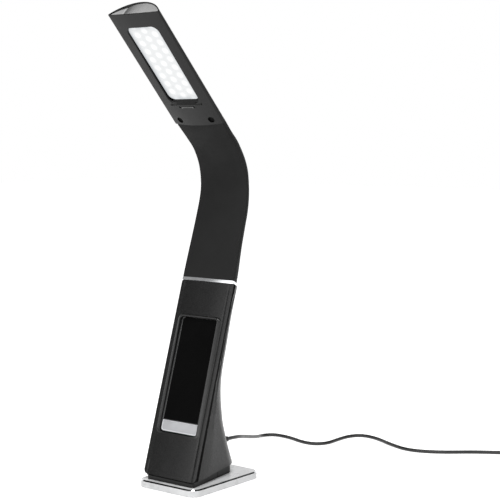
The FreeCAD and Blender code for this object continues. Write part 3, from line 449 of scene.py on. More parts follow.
def finish(name, **settings):
    """A new material with a Principled shader whose plain values are given by name."""
    material = bpy.data.materials.new(name)
    material.use_nodes = True
    shader = material.node_tree.nodes["Principled BSDF"]
    for key, value in settings.items():
        shader.inputs[key.replace("_", " ")].default_value = value
    return material, material.node_tree, shader


def between(tree, factor, low, high, low_in=0.3, high_in=0.7):
    """A value that goes from low to high as a noise goes from low_in to high_in."""
    node = add(tree, "ShaderNodeMapRange", [("Value", factor)], From_Min=low_in, From_Max=high_in,
               To_Min=low, To_Max=high)
    return node.outputs[0]


def colours(tree, factor, low, high, low_in=0.3, high_in=0.7):
    """A colour that goes from low to high with a factor."""
    ramp = add(tree, "ShaderNodeValToRGB", [(0, factor)])
    ramp.color_ramp.elements[0].position = low_in
    ramp.color_ramp.elements[1].position = high_in
    ramp.color_ramp.elements[0].color = (*low, 1)
    ramp.color_ramp.elements[1].color = (*high, 1)
    return ramp.outputs[0]


def raise_by(tree, shader, height, distance, strength=1.0):
    """Feed a height into the shader's normal. The distance is in metres."""
    bump = add(tree, "ShaderNodeBump", [("Height", height)], Strength=strength, Distance=distance)
    tree.links.new(bump.outputs[0], shader.inputs["Normal"])


def grey(value):
    """A colour with no tint."""
    return (value, value, value)


# %% [markdown]
# ## Finishes
#
# The lamp is nearly all black, so its materials differ by how they shine. Leather has creased
# pebbles and a soft sheen. The neck is matte rubber. The head is satin plastic. The display is
# smooth glass over black. The plate's edge, the ring and the insert at the tip are bright metal,
# the plate itself is painted silver, and the bar is satin silver.

# %% Materials
def leather(name, base, rough, pebble=0.9, specular=0.25, depth=0.05):
    """Dyed leather: its colour drifts in patches, and creases are duller than pebbles."""
    material, tree, shader = finish(name, Specular_IOR_Level=specular)
    grain = use(tree, LEATHER, Pebble=pebble)
    tree.links.new(colours(tree, grain.outputs["Patches"], grey(base * 0.75), grey(base * 1.3)),
                   shader.inputs["Base Color"])
    tree.links.new(between(tree, grain.outputs["Creases"], rough + 0.1, rough, 0, 1),
                   shader.inputs["Roughness"])
    raise_by(tree, shader, grain.outputs["Height"], depth * MM, 0.7)
    return material


def moulded(name, base, rough, spread=0.06, size=0.35, depth=0.01, **settings):
    """Plastic or rubber with a fine skin."""
    material, tree, shader = finish(name, **settings)
    grain = use(tree, GRAIN, Size=size)
    darker, paler = [tuple(v * share for v in base) for share in (0.88, 1.1)]
    tree.links.new(colours(tree, grain.outputs["Patches"], darker, paler), shader.inputs["Base Color"])
    tree.links.new(between(tree, grain.outputs["Patches"], rough - spread, rough + spread),
                   shader.inputs["Roughness"])
    raise_by(tree, shader, grain.outputs["Height"], depth * MM)
    return material


def metal(name, base, rough):
    """Bright metal with a barely uneven polish."""
    return moulded(name, base, rough, spread=0.03, size=0.6, depth=0.002, Metallic=1.0)


LEATHER_BLACK = leather("leather_black", 0.004, 0.25, depth=0.03)
WELT_BLACK = leather("welt_black", 0.004, 0.27, pebble=0.7, specular=0.36, depth=0.02)
THREAD = moulded("thread_black", grey(0.003), 0.85, size=0.12, depth=0.03, Specular_IOR_Level=0.1)
NECK_RUBBER = moulded("neck_rubber", grey(0.01), 0.78, size=0.3, depth=0.02, Specular_IOR_Level=0.2)
HEAD_PLASTIC = moulded("head_plastic", grey(0.007), 0.36, size=0.3, depth=0.006,
                       Specular_IOR_Level=0.22)
FRAME_PLASTIC = moulded("frame_plastic", grey(0.008), 0.5, Specular_IOR_Level=0.35)
COLLAR_PLASTIC = moulded("collar_plastic", grey(0.004), 0.4, depth=0.004, Specular_IOR_Level=0.25)
GLASS_BLACK = moulded("glass_black", grey(0.002), 0.05, spread=0.02, depth=0.0004, size=3.0,
                      Specular_IOR_Level=0.09)
BEZEL_GREY = moulded("bezel_grey", grey(0.05), 0.3, depth=0.003)
# Painted highlight: the light grey of the strip in the head's slot stands in for light on its lip.
SLOT_HIGHLIGHT_GREY = moulded("sensor_grey", grey(0.11), 0.3, depth=0.003)
BAR_SILVER = moulded("bar_silver", (0.73, 0.74, 0.76), 0.25, spread=0.05, depth=0.002, size=0.3)
BAR_FIELD = moulded("bar_field", (0.45, 0.455, 0.47), 0.4, spread=0.05, depth=0.004, size=0.3)
PLATE_PAINT = moulded("plate_paint", (0.68, 0.684, 0.69), 0.3, spread=0.06, depth=0.004, size=0.4)
CHROME = metal("chrome", (0.9, 0.91, 0.93), 0.12)
STEEL = metal("steel", grey(0.5), 0.3)
MATT_BLACK = moulded("matt_black", grey(0.003), 0.8, Specular_IOR_Level=0.1)
COPPER = metal("copper", (0.75, 0.36, 0.22), 0.35)
ALUMINIUM = metal("aluminium", grey(0.5), 0.3)
INSERT_METAL = metal("insert_metal", grey(0.75), 0.13)
CIRCUIT = moulded("circuit_green", (0.01, 0.09, 0.035), 0.4)
WHITE_PLASTIC = moulded("white_plastic", grey(0.75), 0.5)
LED_YELLOW = moulded("led_yellow", (0.9, 0.75, 0.2), 0.35)
FOAM = moulded("foam_grey", grey(0.12), 0.95, size=1.2, depth=0.15)
PAD_RUBBER = moulded("pad_rubber", grey(0.02), 0.85, size=0.8, depth=0.08)
KEY_PLASTIC = moulded("key_plastic", grey(0.02), 0.35)
LEAD_RUBBER = moulded("lead_rubber", grey(0.012), 0.42, size=0.5, depth=0.01)

# %% [markdown]
# ## The frame's own parts
#
# Parts that stay as the CAD made them, mostly inside the lamp, only need their finish. The record
# names a material slot for every node, so one table serves them all.

# %% Finishes for the CAD nodes
SLOT_FINISH = {
    "plate_paint": PLATE_PAINT, "pad_rubber": PAD_RUBBER, "screw_steel": STEEL,
    "collar_plastic": COLLAR_PLASTIC, "column_leather": LEATHER_BLACK,
    "frame_plastic": FRAME_PLASTIC, "display_black": GLASS_BLACK,
    "bar_plastic": BAR_SILVER, "foil_copper": COPPER, "circuit_board": CIRCUIT, "bright_steel": STEEL,
    "key_plastic": KEY_PLASTIC, "ring_chrome": CHROME, "gooseneck_steel": STEEL, "former_foam": FOAM,
    "neck_rubber": NECK_RUBBER, "head_plastic": HEAD_PLASTIC, "diffuser_white": WHITE_PLASTIC,
    "light_box_white": WHITE_PLASTIC, "led_board_aluminium": ALUMINIUM, "led_yellow": LED_YELLOW,
    "insert_aluminium": ALUMINIUM, "lead_rubber": LEAD_RUBBER,
}
for name, obj in nodes.items():
    for slot in obj.material_slots:
        known = [key for key in SLOT_FINISH if slot.material and slot.material.name.startswith(key)]
        if not known:
            print("no finish for", name, slot.material.name if slot.material else None)
        else:
            slot.material = SLOT_FINISH[known[0]]
for name in ("head_screws", "front_panel", "column_frame"):     # they show only in dark gaps, and this matt black is painted shade
    nodes[name].material_slots[0].material = MATT_BLACK

# %% [markdown]
# ## The power lead
#
# A thin round lead leaves the column's back through a tapered relief, drops to the desk and runs
# off to the right. It is one NURBS curve: its control points are the route, and the curve rounds
# them off as a soft lead would. The spare length is wound into a small coil, two turns wide and
# four layers high, and the plug lies beside it.

# %% The lead's route
LEAD_RADIUS = 1.75 * MM
WAY_OUT = (0, 40.68, 33.5)          # where the lead leaves the column, in millimetres like its route
COIL_MIDDLE = (185.5, 310.3)
FLOOR_LINE = 1.8                    # how high the line of a lead lies that rests on the desk
route = [WAY_OUT, (0, 55, 33), (-12, 80, 27), (-37, 124, 15), (-56, 160, 6)]
route += [(x, y, FLOOR_LINE) for x, y in
          ((-68, 180), (-60, 193.5), (-38, 192), (-15, 183), (0, 184), (8.5, 195.5), (7, 216),
           (7.6, 237), (17, 249), (37, 246), (62, 232), (90, 221), (119, 232), (147, 257), (176, 274))]

# %% [markdown]
# ### Winding the coil
#
# A real coil is wound in layers, and so is this one: each turn lies beside or on the one before.
# A turn moves over to its new place a little earlier than the last one did, so no two moves meet
# at the same spot. Sixteen control points to a turn keep it round.

# %% The coil's turns
INNER, OUTER, LAYER = 17.5, 21.0, 3.5       # the two radii, and the height of one layer
SLOT_TURN, MOVE = 344, 50                   # degrees in one place, and degrees to move to the next
COIL_START = -51.6                          # degrees round from +X where the lead joins the coil
POINT_TURN = 22.5                           # degrees from one control point to the next
slots = []
for layer in range(4):
    radii = (OUTER, INNER) if layer % 2 == 0 else (INNER, OUTER)
    slots += [(radius, FLOOR_LINE + layer * LAYER) for radius in radii]


def eased(share):
    """A share from 0 to 1 that starts and ends softly."""
    share = min(max(share, 0), 1)
    return share * share * (3 - 2 * share)


def coil_point(turned):
    """The coil's line after it has turned through some degrees."""
    number = min(int(turned // SLOT_TURN), len(slots) - 1)
    radius, height = slots[number]
    if number + 1 < len(slots):
        share = eased((turned - (number + 1) * SLOT_TURN + MOVE) / MOVE)
        radius += share * (slots[number + 1][0] - radius)
        height += share * (slots[number + 1][1] - height)
    angle = math.radians(turned + COIL_START)
    return (COIL_MIDDLE[0] + radius * math.cos(angle),
            COIL_MIDDLE[1] + radius * math.sin(angle), height)


LAST_TURN = 7 * 360 + 71.6      # degrees that the lead turns through in the coil
coil_steps = round(LAST_TURN / POINT_TURN)
route += [coil_point(LAST_TURN * number / coil_steps) for number in range(coil_steps + 1)]
route += [(201, 331, 10.5), (191, 341, 6), (178, 346.5, 3.9), (166, 349, 3.6)]

# %% The lead's curve
curve = bpy.data.curves.new("power_cord", "CURVE")
curve.dimensions = "3D"
curve.bevel_depth = LEAD_RADIUS
curve.bevel_resolution = 4
curve.use_fill_caps = True
curve.resolution_u = 5
spline = curve.splines.new("NURBS")
spline.points.add(len(route) - 1)
for point, place in zip(spline.points, route):
    point.co = (*(Vector(place) * MM), 1)
spline.order_u = 3
spline.use_endpoint_u = True
curve.materials.append(LEAD_RUBBER)
lead = linked("power_cord", curve)
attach(lead, "root")
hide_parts("power_lead", "lead_coil", "lead_tail")

# %% The lead's length, measured along the same curve without its thickness
bare = curve.copy()
bare.bevel_depth = 0
line_object = linked("line", bare)
line = bpy.data.meshes.new_from_object(
    line_object.evaluated_get(bpy.context.evaluated_depsgraph_get()))
places = [vertex.co for vertex in line.vertices]
lead_length = sum((places[a] - places[b]).length for a, b in (e.vertices for e in line.edges))
bpy.data.objects.remove(line_object)
print("lead: %.3f m, %d control points" % (lead_length, len(route)))

# %% [markdown]
# ## The plate
#
# A heavy plate, painted silver, keeps the lamp from tipping. It is a block with large round
# corners. Its top edge is cut off in a narrow flat of bare polished metal, which draws a sharp line
# all the way round, and its underside is hollowed for the anti-slip pad. A bevel on the four upright
# edges comes first, then the top edge with one segment, so that the flat is a row of faces which can
# be found by their slope and given the chrome.

# %% Base plate
PLATE = Vector((70.5, 96.0, 7.0)) * MM
PLATE_LOW = 0.4 * MM
PLATE_CORNER = 10 * MM
CHAMFER = 1.15 * MM
LOWER_ROUND = 0.3 * MM
PAD_BORDER = 4.7 * MM       # from the plate's edge to the hollow for the pad
PAD_HOLLOW = 0.8 * MM


def upright(edge):
    """Whether an edge of the block runs up its height."""
    return abs(edge.verts[0].co.z - edge.verts[1].co.z) > PLATE.z / 2


def lowest_face(bm):
    """The face whose middle is lowest."""
    return min(bm.faces, key=lambda one: one.calc_center_median().z)


bm = bmesh.new()
block = bmesh.ops.create_cube(bm, size=1)
bmesh.ops.scale(bm, vec=PLATE, verts=block["verts"])
bmesh.ops.translate(bm, vec=(0, 0, PLATE_LOW + PLATE.z / 2), verts=block["verts"])
soften(bm, [e for e in bm.edges if upright(e)], PLATE_CORNER, 16)
top = max(bm.faces, key=lambda one: one.calc_center_median().z)
soften(bm, list(top.edges), CHAMFER, 1)
soften(bm, list(lowest_face(bm).edges), LOWER_ROUND, 2)
bottom = lowest_face(bm)
for border, hollow in ((PAD_BORDER, 0), (0.001 * MM, PAD_HOLLOW)):
    bmesh.ops.inset_region(bm, faces=[bottom], thickness=border, depth=-hollow, use_even_offset=True)
bm.normal_update()
for face in bm.faces:
    if 0.5 < face.normal.z < 0.9:
        face.material_index = 1
plate = piece("plate", bm, PLATE_PAINT, stands_for=["base_plate"])
plate.data.materials.append(CHROME)
print("plate:", len(plate.data.polygons), "faces")

# %% [markdown]
# ## The sole and the leather round the back
#
# The column stands on a dark sole moulding that is set back under it, so a black line of shadow
# parts the leather from the plate. A thin flange closes the column's foot, and a narrower pedestal
# carries it. The flange is cut from a copy of the CAD's block. The pedestal is a flat outline with
# round corners, pulled up and cut off along the sole's slope.

# %% Sole moulding
SOLE_UP = SOLE.to_3x3() @ Vector((0, 0, 1))
FLANGE_UNDER = SOLE.translation - SOLE_UP * 1.4 * MM
PEDESTAL_WIDTH = 56.5 * MM
PEDESTAL_FRONT, PEDESTAL_BACK = -41.8 * MM, 29.5 * MM
BACK_SHARE = 0.6            # of its width in front, that the pedestal keeps at the back


def keep_one_side(bm, place, normal, **side):
    """Cut a body with a plane, throw one side away and close the cut."""
    bmesh.ops.bisect_plane(bm, geom=everything(bm), plane_co=place, plane_no=normal, **side)
    bmesh.ops.holes_fill(bm, edges=[e for e in bm.edges if e.is_boundary])


bm = merged_copy("base_collar")
keep_one_side(bm, FLANGE_UNDER, SOLE_UP, clear_inner=True)
pedestal = bmesh.new()
rounded_face(pedestal, PEDESTAL_WIDTH, PEDESTAL_FRONT, PEDESTAL_BACK, (0, 0))
bmesh.ops.rotate(pedestal, matrix=Matrix.Rotation(-math.pi / 2, 3, "X"), verts=pedestal.verts)
front_ends, back_ends = [[v for v in pedestal.verts if (v.co.y > 0) == back] for back in (False, True)]
bmesh.ops.scale(pedestal, vec=(BACK_SHARE, 1, 1), verts=back_ends)
round_corners(pedestal, back_ends, 9 * MM, 12)
round_corners(pedestal, front_ends, 3 * MM, 5)
bmesh.ops.translate(pedestal, vec=(0, 0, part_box("base_collar")[0].z), verts=pedestal.verts)
raised = bmesh.ops.extrude_face_region(pedestal, geom=list(pedestal.faces), use_keep_orig=True)["geom"]
bmesh.ops.translate(pedestal, vec=(0, 0, 20 * MM), verts=verts_in(raised))     # past the cut
keep_one_side(pedestal, FLANGE_UNDER, SOLE_UP, clear_outer=True)
bmesh.ops.recalc_face_normals(pedestal, faces=pedestal.faces)
joined = bpy.data.meshes.new("pedestal")
pedestal.to_mesh(joined)
pedestal.free()
bm.from_mesh(joined)
bpy.data.meshes.remove(joined)
piece("sole_moulding", bm, COLLAR_PLASTIC, stands_for=["base_collar"])

# %% [markdown]
# ### The leather round the back
#
# One piece of leather is wrapped round the sides and the back, deep at the foot and slim at the
# top. A merged copy of the CAD's shell gives its main form. Planes cut it into bands, so that its
# back can swell and draw in along the height, and its sides can hollow a little towards the front.
# The front edge is rounded and made matt black, as painted shade that keeps the groove beside the
# front panel dark. The lower edge at the back is rolled under.

# %% Rear leather
GROOVE_WIDER = 0.5 * MM             # how far the front edge is drawn back
SIDE_X = 28 * MM                    # past this, a point belongs to the side
HOLLOW_FRONT, HOLLOW_BACK = 5 * MM, 20 * MM
SWELL_WAY = Vector((0, 0.953, 0.302))       # square to the column's back, in the column's frame
SWELL = [(-20, 0.8), (-8, 2.8), (0, 3.5), (20, 2.9), (42, 1.5), (62, 0.1), (95, -0.9), (125, 0),
         (160, 0), (183, -1.7)]     # (height, how far the back moves out)

bm = merged_copy("rear_leather")
bmesh.ops.transform(bm, matrix=COLUMN.inverted(), verts=bm.verts)
bmesh.ops.translate(bm, vec=(0, GROOVE_WIDER, 0), verts=[v for v in bm.verts if v.co.y < 4.9 * MM])
cut_at(bm, [depth * MM for depth in (6.5, 8.5, 11, 14, 17, 20)], 1)
for vert in bm.verts:
    if abs(vert.co.x) > SIDE_X and vert.co.y < HOLLOW_BACK:
        share = (HOLLOW_BACK - vert.co.y) / (HOLLOW_BACK - HOLLOW_FRONT)
        vert.co.x -= math.copysign(1.0 * MM * share ** 2, vert.co.x)
cut_at(bm, [height * MM for height in (6, 12, 18, 24, 32, 40, 50, 60,
                                       75, 95, 110, 125, 145, 160, 168, 175)], 2)
for vert in bm.verts:
    share = min(1, max(0, (vert.co.y - 7 * MM) / (9 * MM)))
    vert.co += SWELL_WAY * between_stops(vert.co.z, SWELL) * share
top_edge = creases(bm, lambda e: all(v.co.z > COLUMN_LENGTH - 0.1 * MM for v in e.verts), 60)
soften(bm, top_edge, 1.3 * MM, 4)
front_edge = creases(bm, lambda e: all(v.co.y < 5.3 * MM and v.co.z < COLUMN_LENGTH - 1.5 * MM
                                       for v in e.verts), 60)
soften(bm, front_edge, 0.5 * MM, 3)
for face in bm.faces:       # painted shade: the faces of the rounded front edge get the matt black
    middle = face.calc_center_median()
    if middle.y < (6.2 if middle.z < 130 * MM else 5.4) * MM:
        face.material_index = 1
bmesh.ops.transform(bm, matrix=COLUMN, verts=bm.verts)
hem = creases(bm, lambda e: all((v.co - SOLE.translation).dot(SOLE_UP) < 1.2 * MM and v.co.y > 18 * MM
                                for v in e.verts), 50)
soften(bm, hem, 3.2 * MM, 5)
rear = piece("back_leather", bm, LEATHER_BLACK, stands_for=["rear_leather"], limit=45)
rear.data.materials.append(MATT_BLACK)
print("rear leather:", len(rear.data.polygons), "faces")

# %% [markdown]
# ## The front leather
#
# A padded panel covered in leather closes the front of the column. It is slightly crowned, its long
# edges are rounded, and a row of stitches runs down each side in a shallow valley. The padding is
# thin and glued down, so the form is made directly and no cloth is simulated: the face starts flat
# and is cut by planes into strips, the window is taken out, the edge is folded back, and the strips
# are lifted to the crown. A Solidify modifier then gives the leather its thickness.

# %% Front leather
LEATHER_THICK = 1.2 * MM
HALF_WIDTH = 31.4 * MM
WINDOW_LOW, WINDOW_HIGH = Vector((41.2, 147.6)) * MM      # the window's ends along the column
OPENING = 22.3 * MM         # half the width of the opening in the leather
OPENING_MORE = 1.6 * MM     # how much longer than the window the opening is, at each end
SEAM_X = 27 * MM
SEAM_DEPTH = 0.25 * MM
CROWN = 1.7 * MM


def crown_at(x):
    """How far the padded front stands out at a distance from its middle."""
    return CROWN * (1 - min(1, abs(x) / HALF_WIDTH) ** 2.6)


bm = bmesh.new()
rounded_face(bm, 2 * HALF_WIDTH, 0, COLUMN_LENGTH, (4.5 * MM, 1.8 * MM), 5)
strips = [6, 12, 17, 22.3, 24.5, 26.3, 27, 27.7, 29.4]
cut_at(bm, [side * x * MM for x in strips for side in (-1, 1)], 0)
opening_low, opening_high = WINDOW_LOW - OPENING_MORE, WINDOW_HIGH + OPENING_MORE
cut_at(bm, [opening_low, opening_high], 2)
middles = {face: face.calc_center_median() for face in bm.faces}
inside = [face for face, middle in middles.items()
          if abs(middle.x) < OPENING and opening_low < middle.z < opening_high]
bmesh.ops.delete(bm, geom=inside, context="FACES")
rim = [e for e in bm.edges if e.is_boundary and all(abs(v.co.x) > OPENING + 1 * MM for v in e.verts)]
folded = bmesh.ops.extrude_edge_only(bm, edges=rim)["geom"]
bmesh.ops.translate(bm, vec=(0, LEATHER_THICK, 0), verts=verts_in(folded))
corner = [e for e in rim if e.is_valid and len(e.link_faces) == 2]
for vert in bm.verts:
    vert.co.y -= crown_at(vert.co.x)
    if abs(abs(vert.co.x) - SEAM_X) < 0.05 * MM:
        vert.co.y += SEAM_DEPTH
soften(bm, corner, 1.3 * MM, 5)
bm.normal_update()
# Painted shade: faces that turn to the sides get the matt black, so the groove beside them looks dark.
for face in bm.faces:
    if abs(face.normal.x) > 0.7:
        face.material_index = 1
bmesh.ops.transform(bm, matrix=COLUMN, verts=bm.verts)
bmesh.ops.bisect_plane(bm, geom=everything(bm), plane_co=SOLE.translation, plane_no=SOLE_UP,
                       clear_inner=True)
bmesh.ops.recalc_face_normals(bm, faces=bm.faces)
if sum(f.normal.y * f.calc_area() for f in bm.faces) > 0:
    bmesh.ops.reverse_faces(bm, faces=bm.faces)
front = piece("front_cover_leather", bm, LEATHER_BLACK, stands_for=["front_leather"], weighted=False)
front.data.materials.append(MATT_BLACK)
wall = front.modifiers.new("thickness", "SOLIDIFY")
wall.thickness = LEATHER_THICK
wall.offset = -1
edge = front.modifiers.new("soft_edges", "BEVEL")
edge.width, edge.segments = 0.35 * MM, 3
edge.limit_method, edge.angle_limit = "ANGLE", math.radians(50)
front.modifiers.new("weighted_normals", "WEIGHTED_NORMAL").keep_sharp = True
print("front leather:", len(front.data.polygons), "faces before its thickness")

# %% [markdown]
# ### Stitching
#
# The thread comes up, runs a short way along the leather and goes down again. Each stitch is a small
# low-poly bead, because there are over two hundred of them. They are set one after the other down
# each seam, half sunk in the valley and turned a little, as thread pulled tight is.

# %% Stitches
STITCH_PITCH = 1.45 * MM
STITCH_SIZE = (0.9 * MM, 0.7 * MM, 0.95 * MM)
STITCH_TURN = 6                     # degrees, one way on each side
SEAM_START, SEAM_LENGTH = 14 * MM, 163 * MM
bm = bmesh.new()
for side in (-1, 1):
    for number in range(round(SEAM_LENGTH / STITCH_PITCH)):
        ball = bmesh.ops.create_uvsphere(bm, u_segments=6, v_segments=4, radius=0.5)
        bmesh.ops.scale(bm, vec=STITCH_SIZE, verts=ball["verts"])
        turn = Matrix.Rotation(math.radians(STITCH_TURN * side), 3, "Y")
        bmesh.ops.rotate(bm, matrix=turn, verts=ball["verts"])
        place = (side * SEAM_X, 0.15 * MM - crown_at(SEAM_X), SEAM_START + number * STITCH_PITCH)
        bmesh.ops.translate(bm, vec=place, verts=ball["verts"])
bmesh.ops.transform(bm, matrix=COLUMN, verts=bm.verts)
stitches = piece("seam_stitches", bm, THREAD, weighted=False, limit=80)
print("stitches:", len(stitches.data.polygons), "faces")

# %% [markdown]
# ### The raised frame round the window
#
# The leather is drawn over a frame that stands up round the window, low beside the bar and higher
# beside the display. Its section is given as a row of outlines, from its foot outside over its crest
# to its foot inside. Each outline is extruded from the one before and moved to its own place, which
# keeps the corners matched. The crown is added last, so that the frame sits on the leather.

# %% Window frame
bm = bmesh.new()
# Half width, reach below and above the window, corner radius and depth, all in millimetres.
FRAME_SECTION = [(26.3, 2.6, 2.7, 5.5, 3.0), (26.3, 2.6, 2.7, 5.5, 0.1), (26.2, 2.5, 2.65, 5.4, -0.1),
                 (25.2, 2.1, 2.55, 4.8, -0.55), (24.2, 1.8, 2.4, 4.2, -0.95),
                 (23.4, 1.5, 2.2, 3.8, -1.25), (22.9, 1.4, 2.0, 3.5, -1.4),
                 (22.55, 1.3, 1.5, 3.4, -1.4), (22.3, 1.2, 0.75, 3.3, -1.15),
                 (22.2, 1.2, 0.25, 3.3, -0.6), (22.2, 1.2, 0.25, 3.3, 3.0)]
layered(bm, [(half, WINDOW_LOW - below * MM, WINDOW_HIGH + above * MM,
              (corner * MM, corner * MM), depth)
             for half, below, above, corner, depth in FRAME_SECTION], closed=True)
for vert in bm.verts:
    # Nearly flat below the bar, full height a little above its foot, and higher still up the display.
    start = min(1, max(0, (vert.co.z - WINDOW_LOW - 1 * MM) / (7 * MM)))
    climb = min(1, max(0, (vert.co.z - WINDOW_LOW) / (45 * MM)))
    if vert.co.y < 0:
        vert.co.y *= 0.1 + 0.75 * start + 0.75 * climb
    if vert.co.y < 1 * MM:
        vert.co.y -= crown_at(vert.co.x)
bmesh.ops.transform(bm, matrix=COLUMN, verts=bm.verts)
frame_piece = piece("window_frame", bm, WELT_BLACK, stands_for=["window_rim"], weighted=False, limit=70)
print("window frame:", len(frame_piece.data.polygons), "faces")

# %% [markdown]
# ## Display window and touch bar
#
# The display's window is a smooth black pane, round at the top and square below, sunk a little. The
# bar under it is a satin silver moulding with a raised border. Both are slabs made of outlines, like
# the frame: the last few step inwards along a quarter circle, which rolls the front edge over. The
# field inside the bar's border is a face of its own, so it can have a duller finish.

# %% Pane and bar
SHARPEST = 0.12             # the smallest corner radius, in millimetres, so that every outline has one
BAR_TOP = 10.6 * MM         # above the window's lower end
PANE_FOOT = 10.9 * MM


def slab(name, half, low, high, corners, front, back, edge, material, stands_for, border=0):
    """A slab in the window, between two depths, with its front edges rolled over.

    The half width, the corners' radii, the depths, the edge's radius and the border are in
    millimetres. With a border, the field inside it lies a little lower.
    """
    bm = bmesh.new()
    steps = [(0, back), (0, front + edge)]
    steps += [(edge * (1 - math.cos(turn)), front + edge * (1 - math.sin(turn)))
              for turn in (math.radians(30), math.radians(60), math.radians(90))]
    if border:
        steps += [(border, front), (border + 0.12, front + 0.22)]
    layers = []
    for inset, depth in steps:
        radii = tuple(max(SHARPEST, radius - inset) * MM for radius in corners)
        layers.append((half - inset, low + inset * MM, high - inset * MM, radii, depth))
    layered(bm, layers)
    field = min(bm.faces, key=lambda one: one.calc_center_median().y - one.calc_area())
    bmesh.ops.transform(bm, matrix=COLUMN, verts=bm.verts)
    if border:
        field.material_index = 1
    obj = piece(name, bm, material, stands_for=stands_for)
    if border:
        obj.data.materials.append(BAR_FIELD)
    return obj


slab("display_pane", 20.5, WINDOW_LOW + PANE_FOOT, WINDOW_HIGH, (0.3, 3), 0.4, 2.4, 0.2, GLASS_BLACK,
     ["display_window"])
slab("silver_bar", 21.5, WINDOW_LOW, WINDOW_LOW + BAR_TOP, (2.8, 0.9), 0.5, 3.7, 0.4, BAR_SILVER,
     ["touch_bar"], border=1.0)

# %% [markdown]
# ### The gasket
#
# A thin grey lip closes the gap between the pane and the frame. It is one more frame of outlines.

# %% Gasket beside the pane
# Half width, reach past the pane, upper corner radius and depth, all in millimetres.
GASKET_SECTION = [(22.2, 0.8, 3.3, 2.4), (22.2, 0.8, 3.3, 0.3), (21.9, 0.6, 3.2, 0.05),
                  (20.75, 0.15, 3.05, 0.2), (20.55, 0.05, 3.0, 0.6), (20.55, 0.05, 3.0, 2.4)]
bm = bmesh.new()
layered(bm, [(half, WINDOW_LOW + PANE_FOOT - grow * MM, WINDOW_HIGH + min(grow, 0.2) * MM,
              (0.4 * MM, corner * MM), depth)
             for half, grow, corner, depth in GASKET_SECTION], closed=True)
bmesh.ops.transform(bm, matrix=COLUMN, verts=bm.verts)
piece("pane_gasket", bm, BEZEL_GREY, weighted=False, limit=50)

# %% [markdown]
# ## The ring
#
# A bright metal ring covers the joint between the column and the neck. Its outline is an oval of four
# spun arcs, shallow in front and deep behind, so it fits both. The outline is swept up the column's
# line. The first and the last step are a little smaller, which rounds the ring's edges off.

# %% Trim ring
OVAL = (62.2 * MM, 2.6 * MM, 22.0 * MM, 1.56 * MM)      # width, front and back depth, corner
FIRST_SHARE = (0.982, 0.975, 1)                         # the first outline's share of the oval
WIDER, DEEPER = 1.0085, 1.012                           # each rounding step's share of the one before
# The steps up the ring as (height in millimetres, share of the width, share of the depths).
RING_STEPS = [(0.12, WIDER, DEEPER), (0.4, WIDER, DEEPER), (2.5, 1, 1),
              (2.78, 1 / WIDER, 1 / DEEPER), (RING_HEIGHT / MM, 1 / WIDER, 1 / DEEPER)]
bm = bmesh.new()
ring = lens_outline(bm, *OVAL)
bmesh.ops.scale(bm, vec=FIRST_SHARE, verts=bm.verts)
bmesh.ops.transform(bm, matrix=RING, verts=bm.verts)
place = RING
for height, wide, deep in RING_STEPS:
    higher = RING @ Matrix.Translation((0, 0, height * MM))
    ring = sweep_on(bm, ring, place, higher, wide, deep, deep)
    place = higher
ends = [e for e in bm.edges if e.is_boundary]
bmesh.ops.holes_fill(bm, edges=ends)
bmesh.ops.recalc_face_normals(bm, faces=bm.faces)
piece("bright_ring", bm, CHROME, stands_for=["trim_ring"])

# %% [markdown]
# ## The soft neck
#
# The neck is a rubber sleeve over a gooseneck. In the model the gooseneck bends at six pivots, so
# the sleeve is cut into six lengths, each from the middle of one link to the middle of the next.
# The lengths are set in place as they are and are not tied to the links. One outline is swept along
# the neck in small steps before the sleeve is cut, because a loft of a few sections would not keep
# the width as even between them.

# %% Sweep the sleeve
SLEEVE_WALL = 1.1 * MM
RINGS = 90                  # steps along the neck
STEP = NECK_LENGTH / RINGS
FOOT_WIDE, FOOT_DEEP = 0.984, 0.97      # the sleeve draws in a little where it meets the ring
# How wide the neck is, how deep its back is, and how far its middle is shifted: (run, millimetres).
NECK_WIDTH = [(0, 61.2), (60, 58.6), (97, 55.8), (125, 54.0), (138, 54.4), (160, 56.6)]
NECK_BACK = [(0, 23.4), (40, 19.3), (100, 16.4), (160, 12.0)]
NECK_SHIFT = [(0, 0), (55, 0), (90, 1.7), (97, 1.6), (125, -0.9), (140, -1.2), (160, -1.2)]


def neck_shape(run):
    """Width, front depth and back depth at a run."""
    front = (2.5 + 1.5 * run / NECK_LENGTH) * MM
    return between_stops(run, NECK_WIDTH), front, between_stops(run, NECK_BACK)


def sleeve_place(run):
    """The frame of the sleeve's widest line: the bend is a little rounder than the pivots' own line."""
    return neck_place(run) @ Matrix.Translation((0, between_stops(run, NECK_SHIFT), 0))


FIRST_PIVOT, PIVOT_PITCH, PIVOTS = 22.0, 23.4, 6
PIVOT_RUNS = [(FIRST_PIVOT + PIVOT_PITCH * number) * MM for number in range(PIVOTS)]
CUTS = [0] + [(a + b) / 2 for a, b in zip(PIVOT_RUNS, PIVOT_RUNS[1:])] + [NECK_LENGTH]
stops = sorted({0.0, 0.35 * MM, 0.9 * MM, NECK_LENGTH - 0.3 * MM, NECK_LENGTH}
               | {round(STEP * number, 6) for number in range(2, RINGS - 1)} | set(CUTS[1:-1]))
stops = [run for run, after in zip(stops, stops[1:]) if after - run > 0.2 * MM] + [NECK_LENGTH]
bm = bmesh.new()
length_mark = bm.faces.layers.int.new("length_number")
width, depth_front, depth_back = neck_shape(0)
ring = lens_outline(bm, width, depth_front, depth_back, 1.5 * MM, (30, 6, 44))
bmesh.ops.transform(bm, matrix=sleeve_place(0), verts=bm.verts)
bmesh.ops.scale(bm, vec=(FOOT_WIDE, FOOT_DEEP, 1), space=sleeve_place(0).inverted(), verts=bm.verts)
old = (FOOT_WIDE * width, FOOT_DEEP * depth_front, FOOT_DEEP * depth_back)
